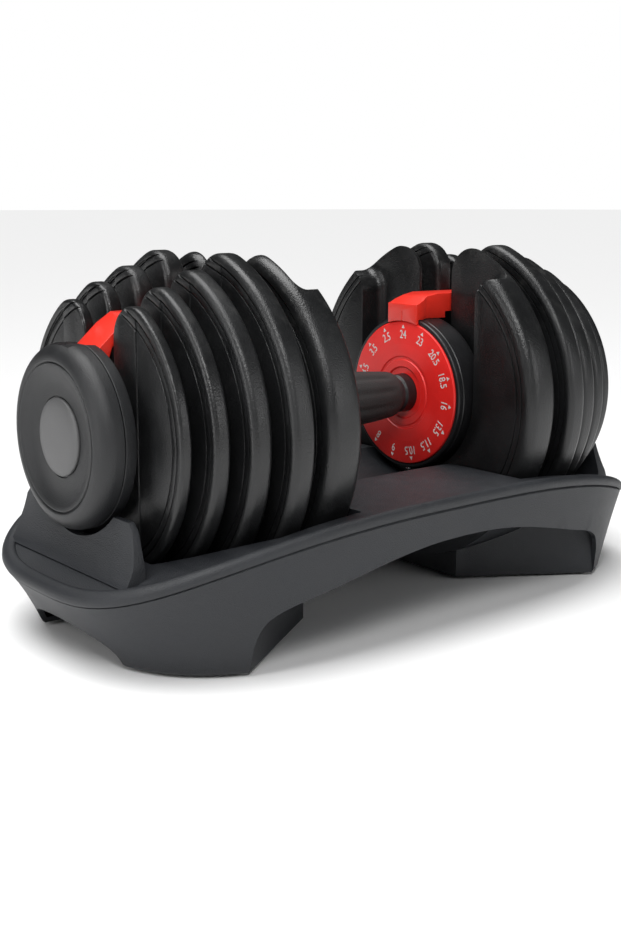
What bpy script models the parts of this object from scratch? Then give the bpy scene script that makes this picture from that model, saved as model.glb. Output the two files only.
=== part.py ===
"""Dial-select adjustable dumbbell, locked at its full weight and resting in its tray.

X runs along the handle, Y to the rear and Z up. The origin is the middle of the footprint, on the
surface that the tray stands on. Left is -X. Sizes are in metres.
"""

import math

import bmesh
import bpy
from mathutils import Vector

# ---- Driving dimensions ------------------------------------------------------------------------

GAP = 0.0003            # clearance between pieces that touch
BEYOND = 0.01           # how far a cutter stands out of what it cuts
EDGE_BREAK = 0.0008     # on the dials
AXLE_Z = 0.120          # height of the handle's axis

# Weight plates, outermost first: nominal pounds, thickness, radius, gap on their outer side
PLATE_LOAD = (1.25, 2.5, 5.0, 7.5, 7.5)
PLATE_THICK = (0.007, 0.010, 0.013, 0.0145, 0.025)
PLATE_RADIUS = (0.0803, 0.0883, 0.096, 0.104, 0.1025)
PLATE_GAP = (0.007, 0.0085, 0.0085, 0.0075, 0.0105)
PLATE_ROUND = (0.002, 0.003, 0.004, 0.004, 0.007)
INNER_FACE_X = 0.0675   # inner face of the innermost plate
SLOT_HALF = 0.015       # half width of the slot that every plate has
TIP_ROUND = 0.018       # rounding of a plate's two horns
TALL_THICK = 0.007      # part of the innermost plate that keeps its full height
SHOULDER_Z = 0.0775     # height over the axis of the cut-down part of the innermost plate
SHOULDER_ROUND = 0.014
LUG_SIZE = (0.0028, 16, 0.007)       # how far a plate's lug stands out, its half angle, its height

# Settings of the dial: the load on each side in the same units as PLATE_LOAD
SETTINGS = (0, 1.25, 2.5, 3.75, 5, 6.25, 7.5, 8.75, 10, 12.5, 15, 17.5, 20, 22.5, 23.75)

AXLE_RADIUS = 0.008
SLEEVE_RADIUS = 0.011
DISC_RADIUS = 0.029
DISC_THICK = 0.002
DISC_WALL = (0.0252, 0.028)          # inner and outer radius of a disc's lifting wall
DISC_FACE_GAP = 0.0007               # from a plate's face to the lifting wall

GRIP_HALF = 0.045
GRIP_END_RADIUS = 0.0148
GRIP_SWELL = 0.0022
COLLAR_RADIUS = 0.0125

DIAL_FACE_X = 0.0562
DIAL_THICK = 0.0028
DIAL_RADIUS = 0.0475
HOUSING_RADIUS = 0.0505
HOUSING_DEPTH = 0.023
RECESS_GAP = 0.0025                  # round the housing, in the innermost plate

BRIDGE_HALF = 0.0126
POINTER_HALF = 0.0134
BRIDGE_TOP = 0.0655                  # over the axis
BRIDGE_UNDER = 0.0535
POINTER_TOP = 0.059
BRIDGE_TOE = 0.0475                  # top of its outer end, which slopes down to the knob

END_PLATE_THICK = 0.003
END_PLATE_RADIUS = 0.045

KNOB_RADIUS = 0.051
KNOB_FACE_RADIUS = 0.042
KNOB_DEPTH = 0.0212
KNOB_SKIRT = 0.007                   # depth of its rear ring
KNOB_WALL = 0.003
KNOB_TAB_ANGLE = 10                  # half angle of the tab at the top of the rear ring
KNOB_TAB_DEPTH = 0.0045
DISH_RADIUS = 0.034
DISH_DEPTH = 0.003
CAP_RADIUS = 0.0217
NUT_RADIUS = 0.013

PIN_RADIUS = 0.002
PIN_LENGTH = 0.014
PIN_X = 0.0629                       # between the dial and the innermost plate
GUIDE_WALL = 0.001
GUIDE_ROOF = 0.002
GUIDE_TOP = 0.022                    # under the axis
SPRING_WIRE = 0.0004
SPRING_TURNS = 4

# Tray: its plan is a superellipse, and its edge dips towards both ends
BASE_HALF = (0.2139, 0.1157)
BASE_POWER = 3.14
EDGE_MIDDLE_Z = 0.0738               # height of the parting line
EDGE_END_Z = 0.0367
EDGE_POWER = 2.88
FOOT_INSET = (0.023, 0.0045)         # how far the skirt leans in on its way down, in x and in y
LIP_HEIGHT = 0.0065
LIP_WIDTH = 0.007
LIP_STEP = 0.0025
LIP_ROUND = 0.002
RIM_INSET = 0.0012                   # of the parting line, from the lip's widest line
TUB_INSET = 0.006
BASE_WALL = 0.0032
WELL_GAP = 0.0022                    # round each plate
LEG_CORNER = (0.0645, 0.044)         # where a leg's inner wall turns
LEG_FRONT = (0.134, 0.089)           # where it meets the skirt
ARCH_EDGE = ((0.143, -0.01), (0.1415, 0.008), (0.140, 0.019), (0.1365, 0.027), (0.131, 0.032),
             (0.120, 0.0365), (0.101, 0.041), (0.076, 0.047), (0.050, 0.0522), (0.025, 0.0552),
             (0.0, 0.056))           # x and z along one half of the long sides' arch
END_ARCH = (0.045, 0.020)            # half width and height
FLOOR_GAP = 0.002                    # under the skirt, for the rubber feet
SADDLE_X = (0.1845, 0.196)
SADDLE_PEAK = (0.050, 0.082)         # y and z of its two peaks
SADDLE_FOOT = 0.064
SADDLE_TIP = 0.004                   # half width of a peak's flat top
CRADLE_GAP = 0.0035                  # round the knob
TROUGH_RADIUS = 0.057                # of the round trough under the dials and the grip
LEG_FLOOR = 0.003
FOOT_RADIUS = 0.008
FOOT_PLACE = (0.150, 0.064)
POST_RADIUS = 0.0026
SCREW_RADIUS = 0.0015
SCREW_HEAD = 0.003

FINE = 32                            # sides of the larger round pieces
WELL_SIDES = 40

SIDES = (("left", -1), ("right", 1))


# ---- Derived places ------------------------------------------------------------------------------

def stack_plates():
    """(inner x, outer x) of each plate, outermost first."""
    spans = []
    x = INNER_FACE_X
    for thick, gap in zip(reversed(PLATE_THICK), reversed(PLATE_GAP)):
        spans.append((x, x + thick))
        x += thick + gap
    return list(reversed(spans)), x


PLATE_SPAN, STACK_END_X = stack_plates()
HOUSING_X = DIAL_FACE_X + DIAL_THICK + GAP
RECESS_X = PLATE_SPAN[-1][1] - TALL_THICK
RECESS_HALF = HOUSING_RADIUS + RECESS_GAP
END_PLATE_X = STACK_END_X
KNOB_X = END_PLATE_X + END_PLATE_THICK + GAP - KNOB_WALL
KNOB_FACE_X = KNOB_X + KNOB_DEPTH
DISH_X = KNOB_FACE_X - DISH_DEPTH
CAP_SEAT_X = DISH_X - 0.0015
NUT_X = CAP_SEAT_X - 0.0045          # floor of the pocket for the axle's nut
AXLE_HALF = CAP_SEAT_X - 0.0005
PIN_BOTTOM = AXLE_Z - HOUSING_RADIUS - 0.002
SCREW_Z = DISC_RADIUS + 0.0105       # height over the axis of the bridge's screw


# ---- Mesh helpers --------------------------------------------------------------------------------

def material(name, colour, roughness, metallic=0.0):
    made = bpy.data.materials.new(name)
    made.use_nodes = True
    shader = made.node_tree.nodes["Principled BSDF"]
    shader.inputs["Base Color"].default_value = (*colour, 1.0)
    shader.inputs["Roughness"].default_value = roughness
    shader.inputs["Metallic"].default_value = metallic
    made.diffuse_color = (*colour, 1.0)
    return made


def add_object(name, mesh_maker, finish, origin=(0.0, 0.0, AXLE_Z), smooth=True):
    """An object whose mesh is made in world space and whose origin is at the given point."""
    mesh = bpy.data.meshes.new(name)
    bmesh.ops.recalc_face_normals(mesh_maker, faces=mesh_maker.faces)
    bmesh.ops.translate(mesh_maker, verts=mesh_maker.verts, vec=-Vector(origin))
    mesh_maker.to_mesh(mesh)
    mesh_maker.free()
    obj = bpy.data.objects.new(name, mesh)
    obj.location = origin
    if finish:
        mesh.materials.append(finish)
    bpy.context.scene.collection.objects.link(obj)
    if smooth:
        mesh.shade_smooth()
        mesh.set_sharp_from_angle(angle=math.radians(35))
    return obj


def cutter(name, mesh_maker):
    obj = add_object(name, mesh_maker, None, smooth=False)
    obj.hide_render = True
    obj.display_type = "WIRE"
    return obj


def combine(obj, other, operation="DIFFERENCE"):
    modifier = obj.modifiers.new(other.name, "BOOLEAN")
    modifier.object = other
    modifier.operation = operation
    modifier.solver = "EXACT"


def loft(rings, cap=True):
    """A solid through rings of equal point counts."""
    made = bmesh.new()
    loops = [[made.verts.new(point) for point in ring] for ring in rings]
    for low, high in zip(loops, loops[1:]):
        for i in range(len(low)):
            j = (i + 1) % len(low)
            made.faces.new((low[i], low[j], high[j], high[i]))
    if cap:
        made.faces.new(loops[0])
        made.faces.new(loops[-1])
    return made


def on_axle(x, radius, turn):
    return x, radius * math.sin(turn), AXLE_Z + radius * math.cos(turn)


def upright_at(x, y):
    """Places a profile of (z, radius) points about a vertical line."""
    return lambda z, radius, turn: (x + radius * math.cos(turn), y + radius * math.sin(turn), z)


def turned(profile, segments=48, place=on_axle):
    """A solid of revolution from (distance along the axis, radius) points, about the handle's axis.

    A profile that starts and ends on the axis makes a solid piece, any other one a ring.
    """
    made = bmesh.new()
    loops = []
    for along, radius in profile:
        if radius < 1e-6:
            loops.append([made.verts.new(place(along, 0.0, 0.0))] * segments)
            continue
        turns = [2 * math.pi * i / segments for i in range(segments)]
        loops.append([made.verts.new(place(along, radius, turn)) for turn in turns])
    if profile[0][1] > 1e-6:
        loops.append(loops[0])
    for low, high in zip(loops, loops[1:]):
        for i in range(segments):
            j = (i + 1) % segments
            corners = []
            for vert in (low[i], low[j], high[j], high[i]):
                if vert not in corners:
                    corners.append(vert)
            if len(corners) > 2:
                made.faces.new(corners)
    return made


def tube(x0, x1, inner, outer, segments=20):
    return turned([(x0, inner), (x1, inner), (x1, outer), (x0, outer)], segments)


def along_x(outline, x0, x1):
    """A prism from (y, z over the axis) points."""
    return loft([[(x, y, AXLE_Z + z) for y, z in outline] for x in (x0, x1)])


def along_y(outline, y0, y1):
    return loft([[(x, y, z) for x, z in outline] for y in (y0, y1)])


def along_z(outline, z0, z1):
    return loft([[(x, y, z) for x, y in outline] for z in (z0, z1)])


def upright(x, y, z0, z1, radius, segments=16):
    return turned([(z0, 0.0), (z0, radius), (z1, radius), (z1, 0.0)], segments, upright_at(x, y))


def arc(centre, radius, start, end, steps):
    """Points from angle start to end, in degrees from +y (or +x) towards +z."""
    angles = [math.radians(start + (end - start) * i / steps) for i in range(steps + 1)]
    return [(centre[0] + radius * math.cos(a), centre[1] + radius * math.sin(a)) for a in angles]


# ---- Weight plates -------------------------------------------------------------------------------

def plate_outline(radius, inset=0.0):
    """(y, z) points of a plate: a disc with a slot from the axis to its top and rounded horns."""
    half = SLOT_HALF + inset
    outer = radius - inset
    tip = TIP_ROUND - inset
    tip_y = SLOT_HALF + TIP_ROUND
    tip_z = math.sqrt((radius - TIP_ROUND) ** 2 - tip_y ** 2)
    meet = math.degrees(math.atan2(tip_z, tip_y))
    points = arc((0, 0), half, 0, -180, 6)
    points += arc((-tip_y, tip_z), tip, 0, 180 - meet, 4)
    points += arc((0, 0), outer, 180 - meet, 360 + meet, 30)[1:]
    points += arc((tip_y, tip_z), tip, meet, 180, 4)[1:]
    return points


def lug_prism(index, side):
    """The block that a selector disc lifts the plate by, on the plate's outer face."""
    stand, half_angle, height = LUG_SIZE
    face = PLATE_SPAN[index][1]
    radius = DISC_WALL[0] - GAP
    outline = arc((0, 0), radius, -90 - half_angle, -90 + half_angle, 4)
    outline += [(y, height - radius) for y, _ in (outline[-1], outline[0])]
    return along_x(outline, side * (face - 0.001), side * (face + stand))


def recess_outline():
    """What the innermost plate leaves free round the housing, and over its shoulders."""
    far = 2 * PLATE_RADIUS[-1]
    corner = RECESS_HALF + SHOULDER_ROUND
    left = [(-far, far), (-far, SHOULDER_Z)]
    left += arc((-corner, SHOULDER_Z - SHOULDER_ROUND), SHOULDER_ROUND, 90, 0, 5)
    bowl = arc((0, 0), RECESS_HALF, 180, 360, 20)
    right = arc((corner, SHOULDER_Z - SHOULDER_ROUND), SHOULDER_ROUND, 180, 90, 5)
    return left + bowl + right + [(far, SHOULDER_Z), (far, far)]


def build_plate(index, name, side, finish):
    inner, outer = PLATE_SPAN[index]
    edge = PLATE_ROUND[index]
    steps = ((0.0, edge), (0.3 * edge, 0.3 * edge), (edge, 0.0))
    stations = [(inner + dx, inset) for dx, inset in steps]
    stations += [(outer - dx, inset) for dx, inset in reversed(steps)]
    rings = [[(side * x, y, AXLE_Z + z) for y, z in plate_outline(PLATE_RADIUS[index], inset)]
             for x, inset in stations]
    plate = add_object(f"{name}_plate_{index + 1}", loft(rings), finish)
    combine(plate, cutter(f"{plate.name}_lug", lug_prism(index, side)), "UNION")
    if index == len(PLATE_LOAD) - 1:
        recess = along_x(recess_outline(), side * (inner - 0.01), side * RECESS_X)
        combine(plate, cutter(f"{plate.name}_recess", recess))
    return plate


# ---- Selector ------------------------------------------------------------------------------------

def holds(index, load):
    """Whether a plate is carried at a setting: the load is filled with the largest plates first."""
    for other in reversed(range(len(PLATE_LOAD))):
        carried = load >= PLATE_LOAD[other]
        if other == index:
            return carried
        if carried:
            load -= PLATE_LOAD[other]
    return False


def disc_profile_angles(index):
    """Start and end angles of the disc's lifting walls, which cover the settings that carry its plate.

    At rest the last setting is at the bottom, under the plate's lug.
    """
    count = len(SETTINGS)
    held = [holds(index, load) for load in SETTINGS]
    step = 360.0 / count
    first = held.index(False)
    spans = []
    for k in range(first, first + count):
        if held[k % count]:
            start = (k + 1 - count - 0.5) * step
            if spans and abs(spans[-1][1] - start) < 0.01:
                spans[-1][1] = start + step
            else:
                spans.append([start, start + step])
    return spans


def wall_prism(start, end, x0, x1):
    """A curved wall between two angles, measured about the axle from straight down."""
    steps = max(2, round((end - start) / 12))
    outline = arc((0, 0), DISC_WALL[1], start - 90, end - 90, steps)
    outline += arc((0, 0), DISC_WALL[0], end - 90, start - 90, steps)
    return along_x(outline, x0, x1)


def build_disc(index, name, side, finish):
    face = PLATE_SPAN[index][1]
    wall_x = face + DISC_FACE_GAP
    web_x = face + LUG_SIZE[0] + 0.0012
    bore = SLEEVE_RADIUS + GAP
    web = tube(side * web_x, side * (web_x + DISC_THICK), bore, DISC_RADIUS)
    disc = add_object(f"{name}_selector_disc_{index + 1}", web, finish)
    for number, (start, end) in enumerate(disc_profile_angles(index)):
        wall = wall_prism(start + 0.5, end - 0.5, side * wall_x, side * (web_x + DISC_THICK / 2))
        combine(disc, cutter(f"{disc.name}_wall_{number}", wall), "UNION")
    return disc


# ---- Dial, knob and axle -------------------------------------------------------------------------

def build_dial(name, side, finishes):
    bore = COLLAR_RADIUS + GAP
    face, back = side * DIAL_FACE_X, side * (DIAL_FACE_X + DIAL_THICK)
    edge = side * (DIAL_FACE_X + 0.0008)
    profile = [(face, bore), (back, bore), (back, DIAL_RADIUS)]
    profile += [(edge, DIAL_RADIUS), (face, DIAL_RADIUS - EDGE_BREAK)]
    add_object(f"{name}_dial", turned(profile, FINE), finishes["dial"])


def build_sleeve(name, side, finishes):
    """The hollow shaft that joins dial, discs and knob; a flange behind the dial carries it."""
    bore = AXLE_RADIUS + GAP
    start = DIAL_FACE_X + DIAL_THICK + GAP
    flange = start + 0.003
    end = NUT_X - 0.002 - GAP
    profile = [(start, bore), (end, bore), (end, SLEEVE_RADIUS), (flange, SLEEVE_RADIUS),
               (flange, 0.018), (start, 0.018)]
    mesh = turned([(side * x, r) for x, r in profile], 24)
    add_object(f"{name}_selector_sleeve", mesh, finishes["steel"])


def build_knob_skirt(name, side, finishes):
    """Rear ring of the knob, with the tab that fills the shell's notch."""
    joint_x = KNOB_X + KNOB_SKIRT
    inner = KNOB_RADIUS - KNOB_WALL
    ring = [(KNOB_X, inner), (joint_x, inner), (joint_x, KNOB_RADIUS), (KNOB_X + 0.001, KNOB_RADIUS),
            (KNOB_X, KNOB_RADIUS - 0.001)]
    mesh = turned([(side * x, r) for x, r in ring], FINE)
    skirt = add_object(f"{name}_knob_skirt", mesh, finishes["knob"])
    tab = arc((0, 0), KNOB_RADIUS - 0.0003, 90 - KNOB_TAB_ANGLE, 90 + KNOB_TAB_ANGLE, 4)
    tab += arc((0, 0), inner + 0.0004, 90 + KNOB_TAB_ANGLE, 90 - KNOB_TAB_ANGLE, 4)
    tab_mesh = along_x(tab, side * (joint_x - 0.004), side * (joint_x + KNOB_TAB_DEPTH))
    combine(skirt, cutter(f"{name}_knob_tab", tab_mesh), "UNION")


def build_knob_shell(name, side, finishes):
    """Front of the knob: rounded rim, dished face, seat for the cap and pocket for the axle's nut."""
    joint_x = KNOB_X + KNOB_SKIRT
    inner = KNOB_RADIUS - KNOB_WALL
    shoulder = KNOB_RADIUS - KNOB_FACE_RADIUS
    round_x = KNOB_FACE_X - shoulder
    front = joint_x + GAP
    hole = CAP_RADIUS + GAP
    pocket = NUT_RADIUS + 0.003
    bore = AXLE_RADIUS + GAP
    shell = [(front, inner), (round_x, inner), (DISH_X - KNOB_WALL, KNOB_FACE_RADIUS)]
    shell += [(DISH_X - KNOB_WALL, pocket + 0.003), (NUT_X - 0.002, pocket + 0.003), (NUT_X - 0.002, bore)]
    shell += [(NUT_X, bore), (NUT_X, pocket), (CAP_SEAT_X, pocket), (CAP_SEAT_X, hole), (DISH_X, hole)]
    shell += [(DISH_X, DISH_RADIUS - 0.005), (KNOB_FACE_X, DISH_RADIUS)]
    shell += arc((round_x, KNOB_FACE_RADIUS), shoulder, 0, 90, 4) + [(front, KNOB_RADIUS)]
    mesh = turned([(side * x, r) for x, r in shell], FINE)
    body = add_object(f"{name}_knob_shell", mesh, finishes["knob"])
    half = KNOB_RADIUS * math.sin(math.radians(KNOB_TAB_ANGLE)) + GAP
    low, high = inner - BEYOND, KNOB_RADIUS + BEYOND
    notch = [(-half, low), (half, low), (half, high), (-half, high)]
    notch_mesh = along_x(notch, side * (joint_x - 0.001), side * (joint_x + KNOB_TAB_DEPTH + GAP))
    combine(body, cutter(f"{name}_knob_notch", notch_mesh))


def build_knob_cap(name, side, finishes):
    low = CAP_SEAT_X + GAP
    rim = DISH_X + 0.0004
    rise = KNOB_FACE_X - 0.0005 - rim
    dome = [(low, 0.0), (low, CAP_RADIUS)]
    for angle in (0, 25, 50, 70, 90):
        turn = math.radians(angle)
        dome.append((rim + rise * math.sin(turn), CAP_RADIUS * math.cos(turn) if angle < 90 else 0.0))
    add_object(f"{name}_knob_cap", turned([(side * x, r) for x, r in dome], 32), finishes["cap"])


# ---- Handle --------------------------------------------------------------------------------------

def grip_radius(x):
    """The grip swells in the middle and has a bulge towards each end."""
    share = x / GRIP_HALF
    return GRIP_END_RADIUS + GRIP_SWELL * (1 - share ** 2) + 0.0008 * math.cos(3 * math.pi * share) ** 2


def build_handle_core(finishes):
    rod = [(-AXLE_HALF, 0.0), (-AXLE_HALF, AXLE_RADIUS), (AXLE_HALF, AXLE_RADIUS), (AXLE_HALF, 0.0)]
    add_object("axle_rod", turned(rod, 24), finishes["steel"])
    bore = AXLE_RADIUS + GAP
    stations = [-GRIP_HALF + 2 * GRIP_HALF * i / 12 for i in range(13)]
    grip = [(stations[0], bore), (stations[-1], bore)]
    grip += [(x, grip_radius(x)) for x in reversed(stations)]
    add_object("grip_sleeve", turned(grip, 24), finishes["grip"])


def build_collar(name, side, finishes):
    start, end = GRIP_HALF + GAP, DIAL_FACE_X + DIAL_THICK
    mesh = tube(side * start, side * end, AXLE_RADIUS + GAP, COLLAR_RADIUS)
    add_object(f"{name}_collar", mesh, finishes["black"])


def build_axle_nut(name, side, finishes):
    """The nut on the axle's end, which keeps the knob and its sleeve on."""
    x0, x1 = NUT_X + GAP, AXLE_HALF - GAP
    hexagon = arc((0, 0), NUT_RADIUS, 0, 300, 5)
    mesh = along_x(hexagon, side * x0, side * x1)
    nut = add_object(f"{name}_axle_nut", mesh, finishes["steel"], smooth=False)
    low, high, radius = x0 - BEYOND, x1 + BEYOND, AXLE_RADIUS + GAP
    hole = [(low, 0.0), (low, radius), (high, radius), (high, 0.0)]
    combine(nut, cutter(f"{name}_nut_hole", turned([(side * x, r) for x, r in hole], 24)))


def build_housing(name, side, finishes):
    """A cup open towards the dial, which turns in its mouth; its back wall is the sleeve's bearing."""
    inner = DIAL_RADIUS + 2 * GAP
    front = DIAL_FACE_X + 0.0012
    back = HOUSING_X + HOUSING_DEPTH
    wall = back - 0.003
    bore = SLEEVE_RADIUS + GAP
    profile = [(front, inner), (wall, inner), (wall, bore), (back, bore)]
    profile += [(back, HOUSING_RADIUS - 0.002), (back - 0.002, HOUSING_RADIUS)]
    profile += [(front + 0.002, HOUSING_RADIUS), (front, HOUSING_RADIUS - 0.0015)]
    mesh = turned([(side * x, r) for x, r in profile], FINE)
    housing = add_object(f"{name}_housing", mesh, finishes["black"])
    hole = upright(side * PIN_X, 0, 0.0, AXLE_Z - 0.03, PIN_RADIUS + GAP, 12)
    combine(housing, cutter(f"{name}_pin_hole", hole))


def bridge_outline(side):
    """(x, z) of the bridge from its pointer over the housing to the end plate."""
    front = DIAL_FACE_X + 0.0005
    housing_back = HOUSING_X + HOUSING_DEPTH + GAP
    toe = END_PLATE_X - GAP
    over = DIAL_RADIUS
    toe_low = DISC_RADIUS + 0.004
    points = [(front, over), (front, POINTER_TOP)]
    points += [(front + 0.010, BRIDGE_TOP - 0.0015), (front + 0.02, BRIDGE_TOP)]
    points += [(toe - 0.010, BRIDGE_TOP - 0.004), (toe, BRIDGE_TOE), (toe, toe_low)]
    points += [(toe - 0.003, toe_low), (toe - 0.006, BRIDGE_UNDER), (housing_back, BRIDGE_UNDER)]
    points += [(housing_back, over)]
    return [(side * x, AXLE_Z + z) for x, z in points]


def build_bridge(name, side, finishes):
    """The red beam over the plates, with its pointer in front of the dial's rim."""
    mesh = along_y(bridge_outline(side), -BRIDGE_HALF, BRIDGE_HALF)
    bridge = add_object(f"{name}_bridge", mesh, finishes["red"], smooth=False)
    front = DIAL_FACE_X
    low, high = DIAL_RADIUS - 0.002, POINTER_TOP + 0.0005
    block = [(front - 0.0012, low), (front - 0.0012, high), (front + 0.004, high), (front + 0.004, low)]
    pointer = along_y([(side * x, AXLE_Z + z) for x, z in block], -POINTER_HALF, POINTER_HALF)
    combine(bridge, cutter(f"{name}_pointer", pointer), "UNION")
    mouth = front + 0.0009
    room = [(front - 0.003, 0.0), (front - 0.003, DIAL_RADIUS + GAP), (mouth, DIAL_RADIUS + GAP),
            (mouth, HOUSING_RADIUS + GAP), (HOUSING_X + HOUSING_DEPTH + 2 * GAP, HOUSING_RADIUS + GAP),
            (HOUSING_X + HOUSING_DEPTH + 2 * GAP, 0.0)]
    combine(bridge, cutter(f"{name}_dial_room", turned([(side * x, r) for x, r in room], FINE)))
    combine(bridge, cutter(f"{name}_screw_room", screw_shank(side, GAP)))


def screw_shank(side, clearance=0.0):
    """The screw that holds the bridge's toe to the end plate, or room for it."""
    radius = SCREW_RADIUS + clearance
    circle = arc((0, SCREW_Z), radius, 0, 330, 11)
    x0 = END_PLATE_X - 0.002 - clearance
    return along_x(circle, side * x0, side * (END_PLATE_X + END_PLATE_THICK + 0.001))


def build_end_plate(name, side, finishes):
    x0, x1 = side * END_PLATE_X, side * (END_PLATE_X + END_PLATE_THICK)
    mesh = tube(x0, x1, SLEEVE_RADIUS + GAP, END_PLATE_RADIUS, 32)
    plate = add_object(f"{name}_end_plate", mesh, finishes["steel"])
    combine(plate, cutter(f"{name}_end_plate_hole", screw_shank(side, GAP)))
    screw = add_object(f"{name}_bridge_screw", screw_shank(side), finishes["steel"])
    circle = arc((0, SCREW_Z), SCREW_HEAD, 0, 330, 11)
    head_x = END_PLATE_X + END_PLATE_THICK + GAP
    head = along_x(circle, side * head_x, side * (head_x + 0.002))
    combine(screw, cutter(f"{name}_screw_head", head), "UNION")


# ---- Lock pins -----------------------------------------------------------------------------------

def build_lock(name, side, finishes):
    """Spring pin under the housing. The tray's post holds it up, and it drops when the bell is lifted."""
    x = side * PIN_X
    place = upright_at(x, 0)
    pin_top = PIN_BOTTOM + PIN_LENGTH
    guide_low = AXLE_Z - DIAL_RADIUS + GAP
    guide_top = AXLE_Z - GUIDE_TOP
    bore = PIN_RADIUS + GAP
    outer, roof = bore + GUIDE_WALL, guide_top - GUIDE_ROOF
    cup = [(guide_low, bore), (guide_low, outer), (guide_top, outer), (guide_top, 0.0)]
    cup += [(roof, 0.0), (roof, bore)]
    add_object(f"{name}_lock_guide", closed_cup(cup, 12, place), finishes["black"])
    pin = upright(x, 0, PIN_BOTTOM, pin_top, PIN_RADIUS, 12)
    add_object(f"{name}_lock_pin", pin, finishes["steel"], (x, 0, PIN_BOTTOM))
    spring = coil((x, 0), pin_top + GAP, roof - GAP, PIN_RADIUS - SPRING_WIRE)
    add_object(f"{name}_lock_spring", spring, finishes["steel"], (x, 0, pin_top + GAP))


def closed_cup(profile, segments, place):
    """A cup from a closed profile that touches the axis at two neighbouring points."""
    start = next(i for i in range(len(profile)) if profile[i][1] < 1e-6 and profile[i - 1][1] < 1e-6)
    return turned(profile[start:] + profile[:start], segments, place)


def coil(centre, low, high, radius, around=8, section=4):
    rings = []
    upward = Vector((0, 0, 1))
    count = SPRING_TURNS * around
    for i in range(count + 1):
        turn = 2 * math.pi * i / around
        outward = Vector((math.cos(turn), math.sin(turn), 0))
        height = low + SPRING_WIRE + (high - low - 2 * SPRING_WIRE) * i / count
        middle = Vector((centre[0], centre[1], height)) + radius * outward
        ring = []
        for j in range(section):
            roll = 2 * math.pi * j / section
            ring.append(middle + SPRING_WIRE * (math.cos(roll) * outward + math.sin(roll) * upward))
        rings.append(ring)
    return loft(rings)


# ---- Tray ----------------------------------------------------------------------------------------

def edge_z(x):
    """Height of the parting line between tray and skirt."""
    share = min(1.0, abs(x) / BASE_HALF[0])
    return EDGE_MIDDLE_Z - (EDGE_MIDDLE_Z - EDGE_END_Z) * share ** EDGE_POWER


def over_edge(rise):
    return lambda x: edge_z(x) + rise


def plan(inset_x, inset_y, quarter=14):
    """Points of the plan outline, moved inwards, so that point i and its mirror in y pair up."""
    a, b = BASE_HALF[0] - inset_x, BASE_HALF[1] - inset_y
    points = []
    for i in range(4 * quarter):
        turn = 2 * math.pi * i / (4 * quarter)
        c, s = math.cos(turn), math.sin(turn)
        x = a * math.copysign(abs(c) ** (2 / BASE_POWER), c)
        y = b * math.copysign(abs(s) ** (2 / BASE_POWER), s)
        points.append((x, y))
    return points


def hull(levels):
    """A solid through plan outlines at given insets and heights, capped by strips across y."""
    made = bmesh.new()
    loops = []
    for inset, height in levels:
        insets = inset if isinstance(inset, tuple) else (inset, inset)
        loops.append([made.verts.new((x, y, height(x))) for x, y in plan(*insets)])
    count = len(loops[0])
    for low, high in zip(loops, loops[1:]):
        for i in range(count):
            j = (i + 1) % count
            made.faces.new((low[i], low[j], high[j], high[i]))
    for ends in (loops[0], loops[-1]):
        for i in range(count // 2):
            corners = []
            for k in (i, i + 1, count - i - 1, (count - i) % count):
                if ends[k] not in corners:
                    corners.append(ends[k])
            made.faces.new(corners)
    return made


def skirt_level(share, wall=0.0):
    """Insets and height of the skirt at a share of its own height, with the inside moved in by a wall."""
    insets = tuple(wall + foot - (foot - RIM_INSET) * share for foot in FOOT_INSET)
    return insets, lambda x: FLOOR_GAP + (edge_z(x) - GAP - FLOOR_GAP) * share


def line_reach():
    """Where a leg's slanting wall would meet a line well outside the tray."""
    (cx, cy), (fx, fy) = LEG_CORNER, LEG_FRONT
    far_y = BASE_HALF[1] + 2 * BEYOND
    return cx + (far_y - cy) * (fx - cx) / (fy - cy), far_y


def leg_outline(inset):
    """Plan of the hollow in the right-hand leg; its inner wall slants from the skirt to a corner."""
    (cx, cy), (fx, fy) = LEG_CORNER, LEG_FRONT
    reach, far_y = line_reach()
    shift = inset * math.hypot(fx - cx, fy - cy) / (fy - cy)
    bend = cy - inset * (math.hypot(fx - cx, fy - cy) - (fy - cy)) / (fx - cx)
    far_x = max(BASE_HALF[0], reach + shift) + 2 * BEYOND
    half = [(cx + inset, bend), (reach + shift, far_y), (far_x, far_y)]
    return half + [(x, -y) for x, y in reversed(half)]


def tunnel_outline():
    """Plan of the open space between the legs."""
    cx, cy = LEG_CORNER
    reach, far_y = line_reach()
    corner = [(cx, cy), (reach, far_y)]
    right = [(x, -y) for x, y in reversed(corner)] + corner
    return right + [(-x, y) for x, y in reversed(right)]


def mirrored(outline):
    return [(-x, y) for x, y in reversed(outline)]


def end_arch_outline():
    half, height = END_ARCH
    points = [(-half, -0.01 - AXLE_Z), (half, -0.01 - AXLE_Z)]
    for i in range(11):
        turn = math.pi * i / 10
        rise = FLOOR_GAP + (height - FLOOR_GAP) * math.sin(turn) ** 0.7
        points.append((half * math.cos(turn), rise - AXLE_Z))
    return points


def tunnel_room(levels):
    """The space between the legs, with the arches that open it through both long sides."""
    room = cutter("tunnel_room", hull(levels))
    arch = list(ARCH_EDGE) + [(-x, z) for x, z in reversed(ARCH_EDGE[:-1])]
    combine(room, cutter("side_arches", along_y(arch, -0.15, 0.15)), "UNION")
    combine(room, cutter("tunnel_region", along_z(tunnel_outline(), -0.009, 0.12)), "INTERSECT")
    return room


def confined(name, levels, outline, low=-0.03):
    """A room in the hull's shape, kept to the part of the plan inside an outline."""
    room = cutter(name, hull(levels))
    combine(room, cutter(f"{name}_region", along_z(outline, low, 0.12)), "INTERSECT")
    return room


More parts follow.
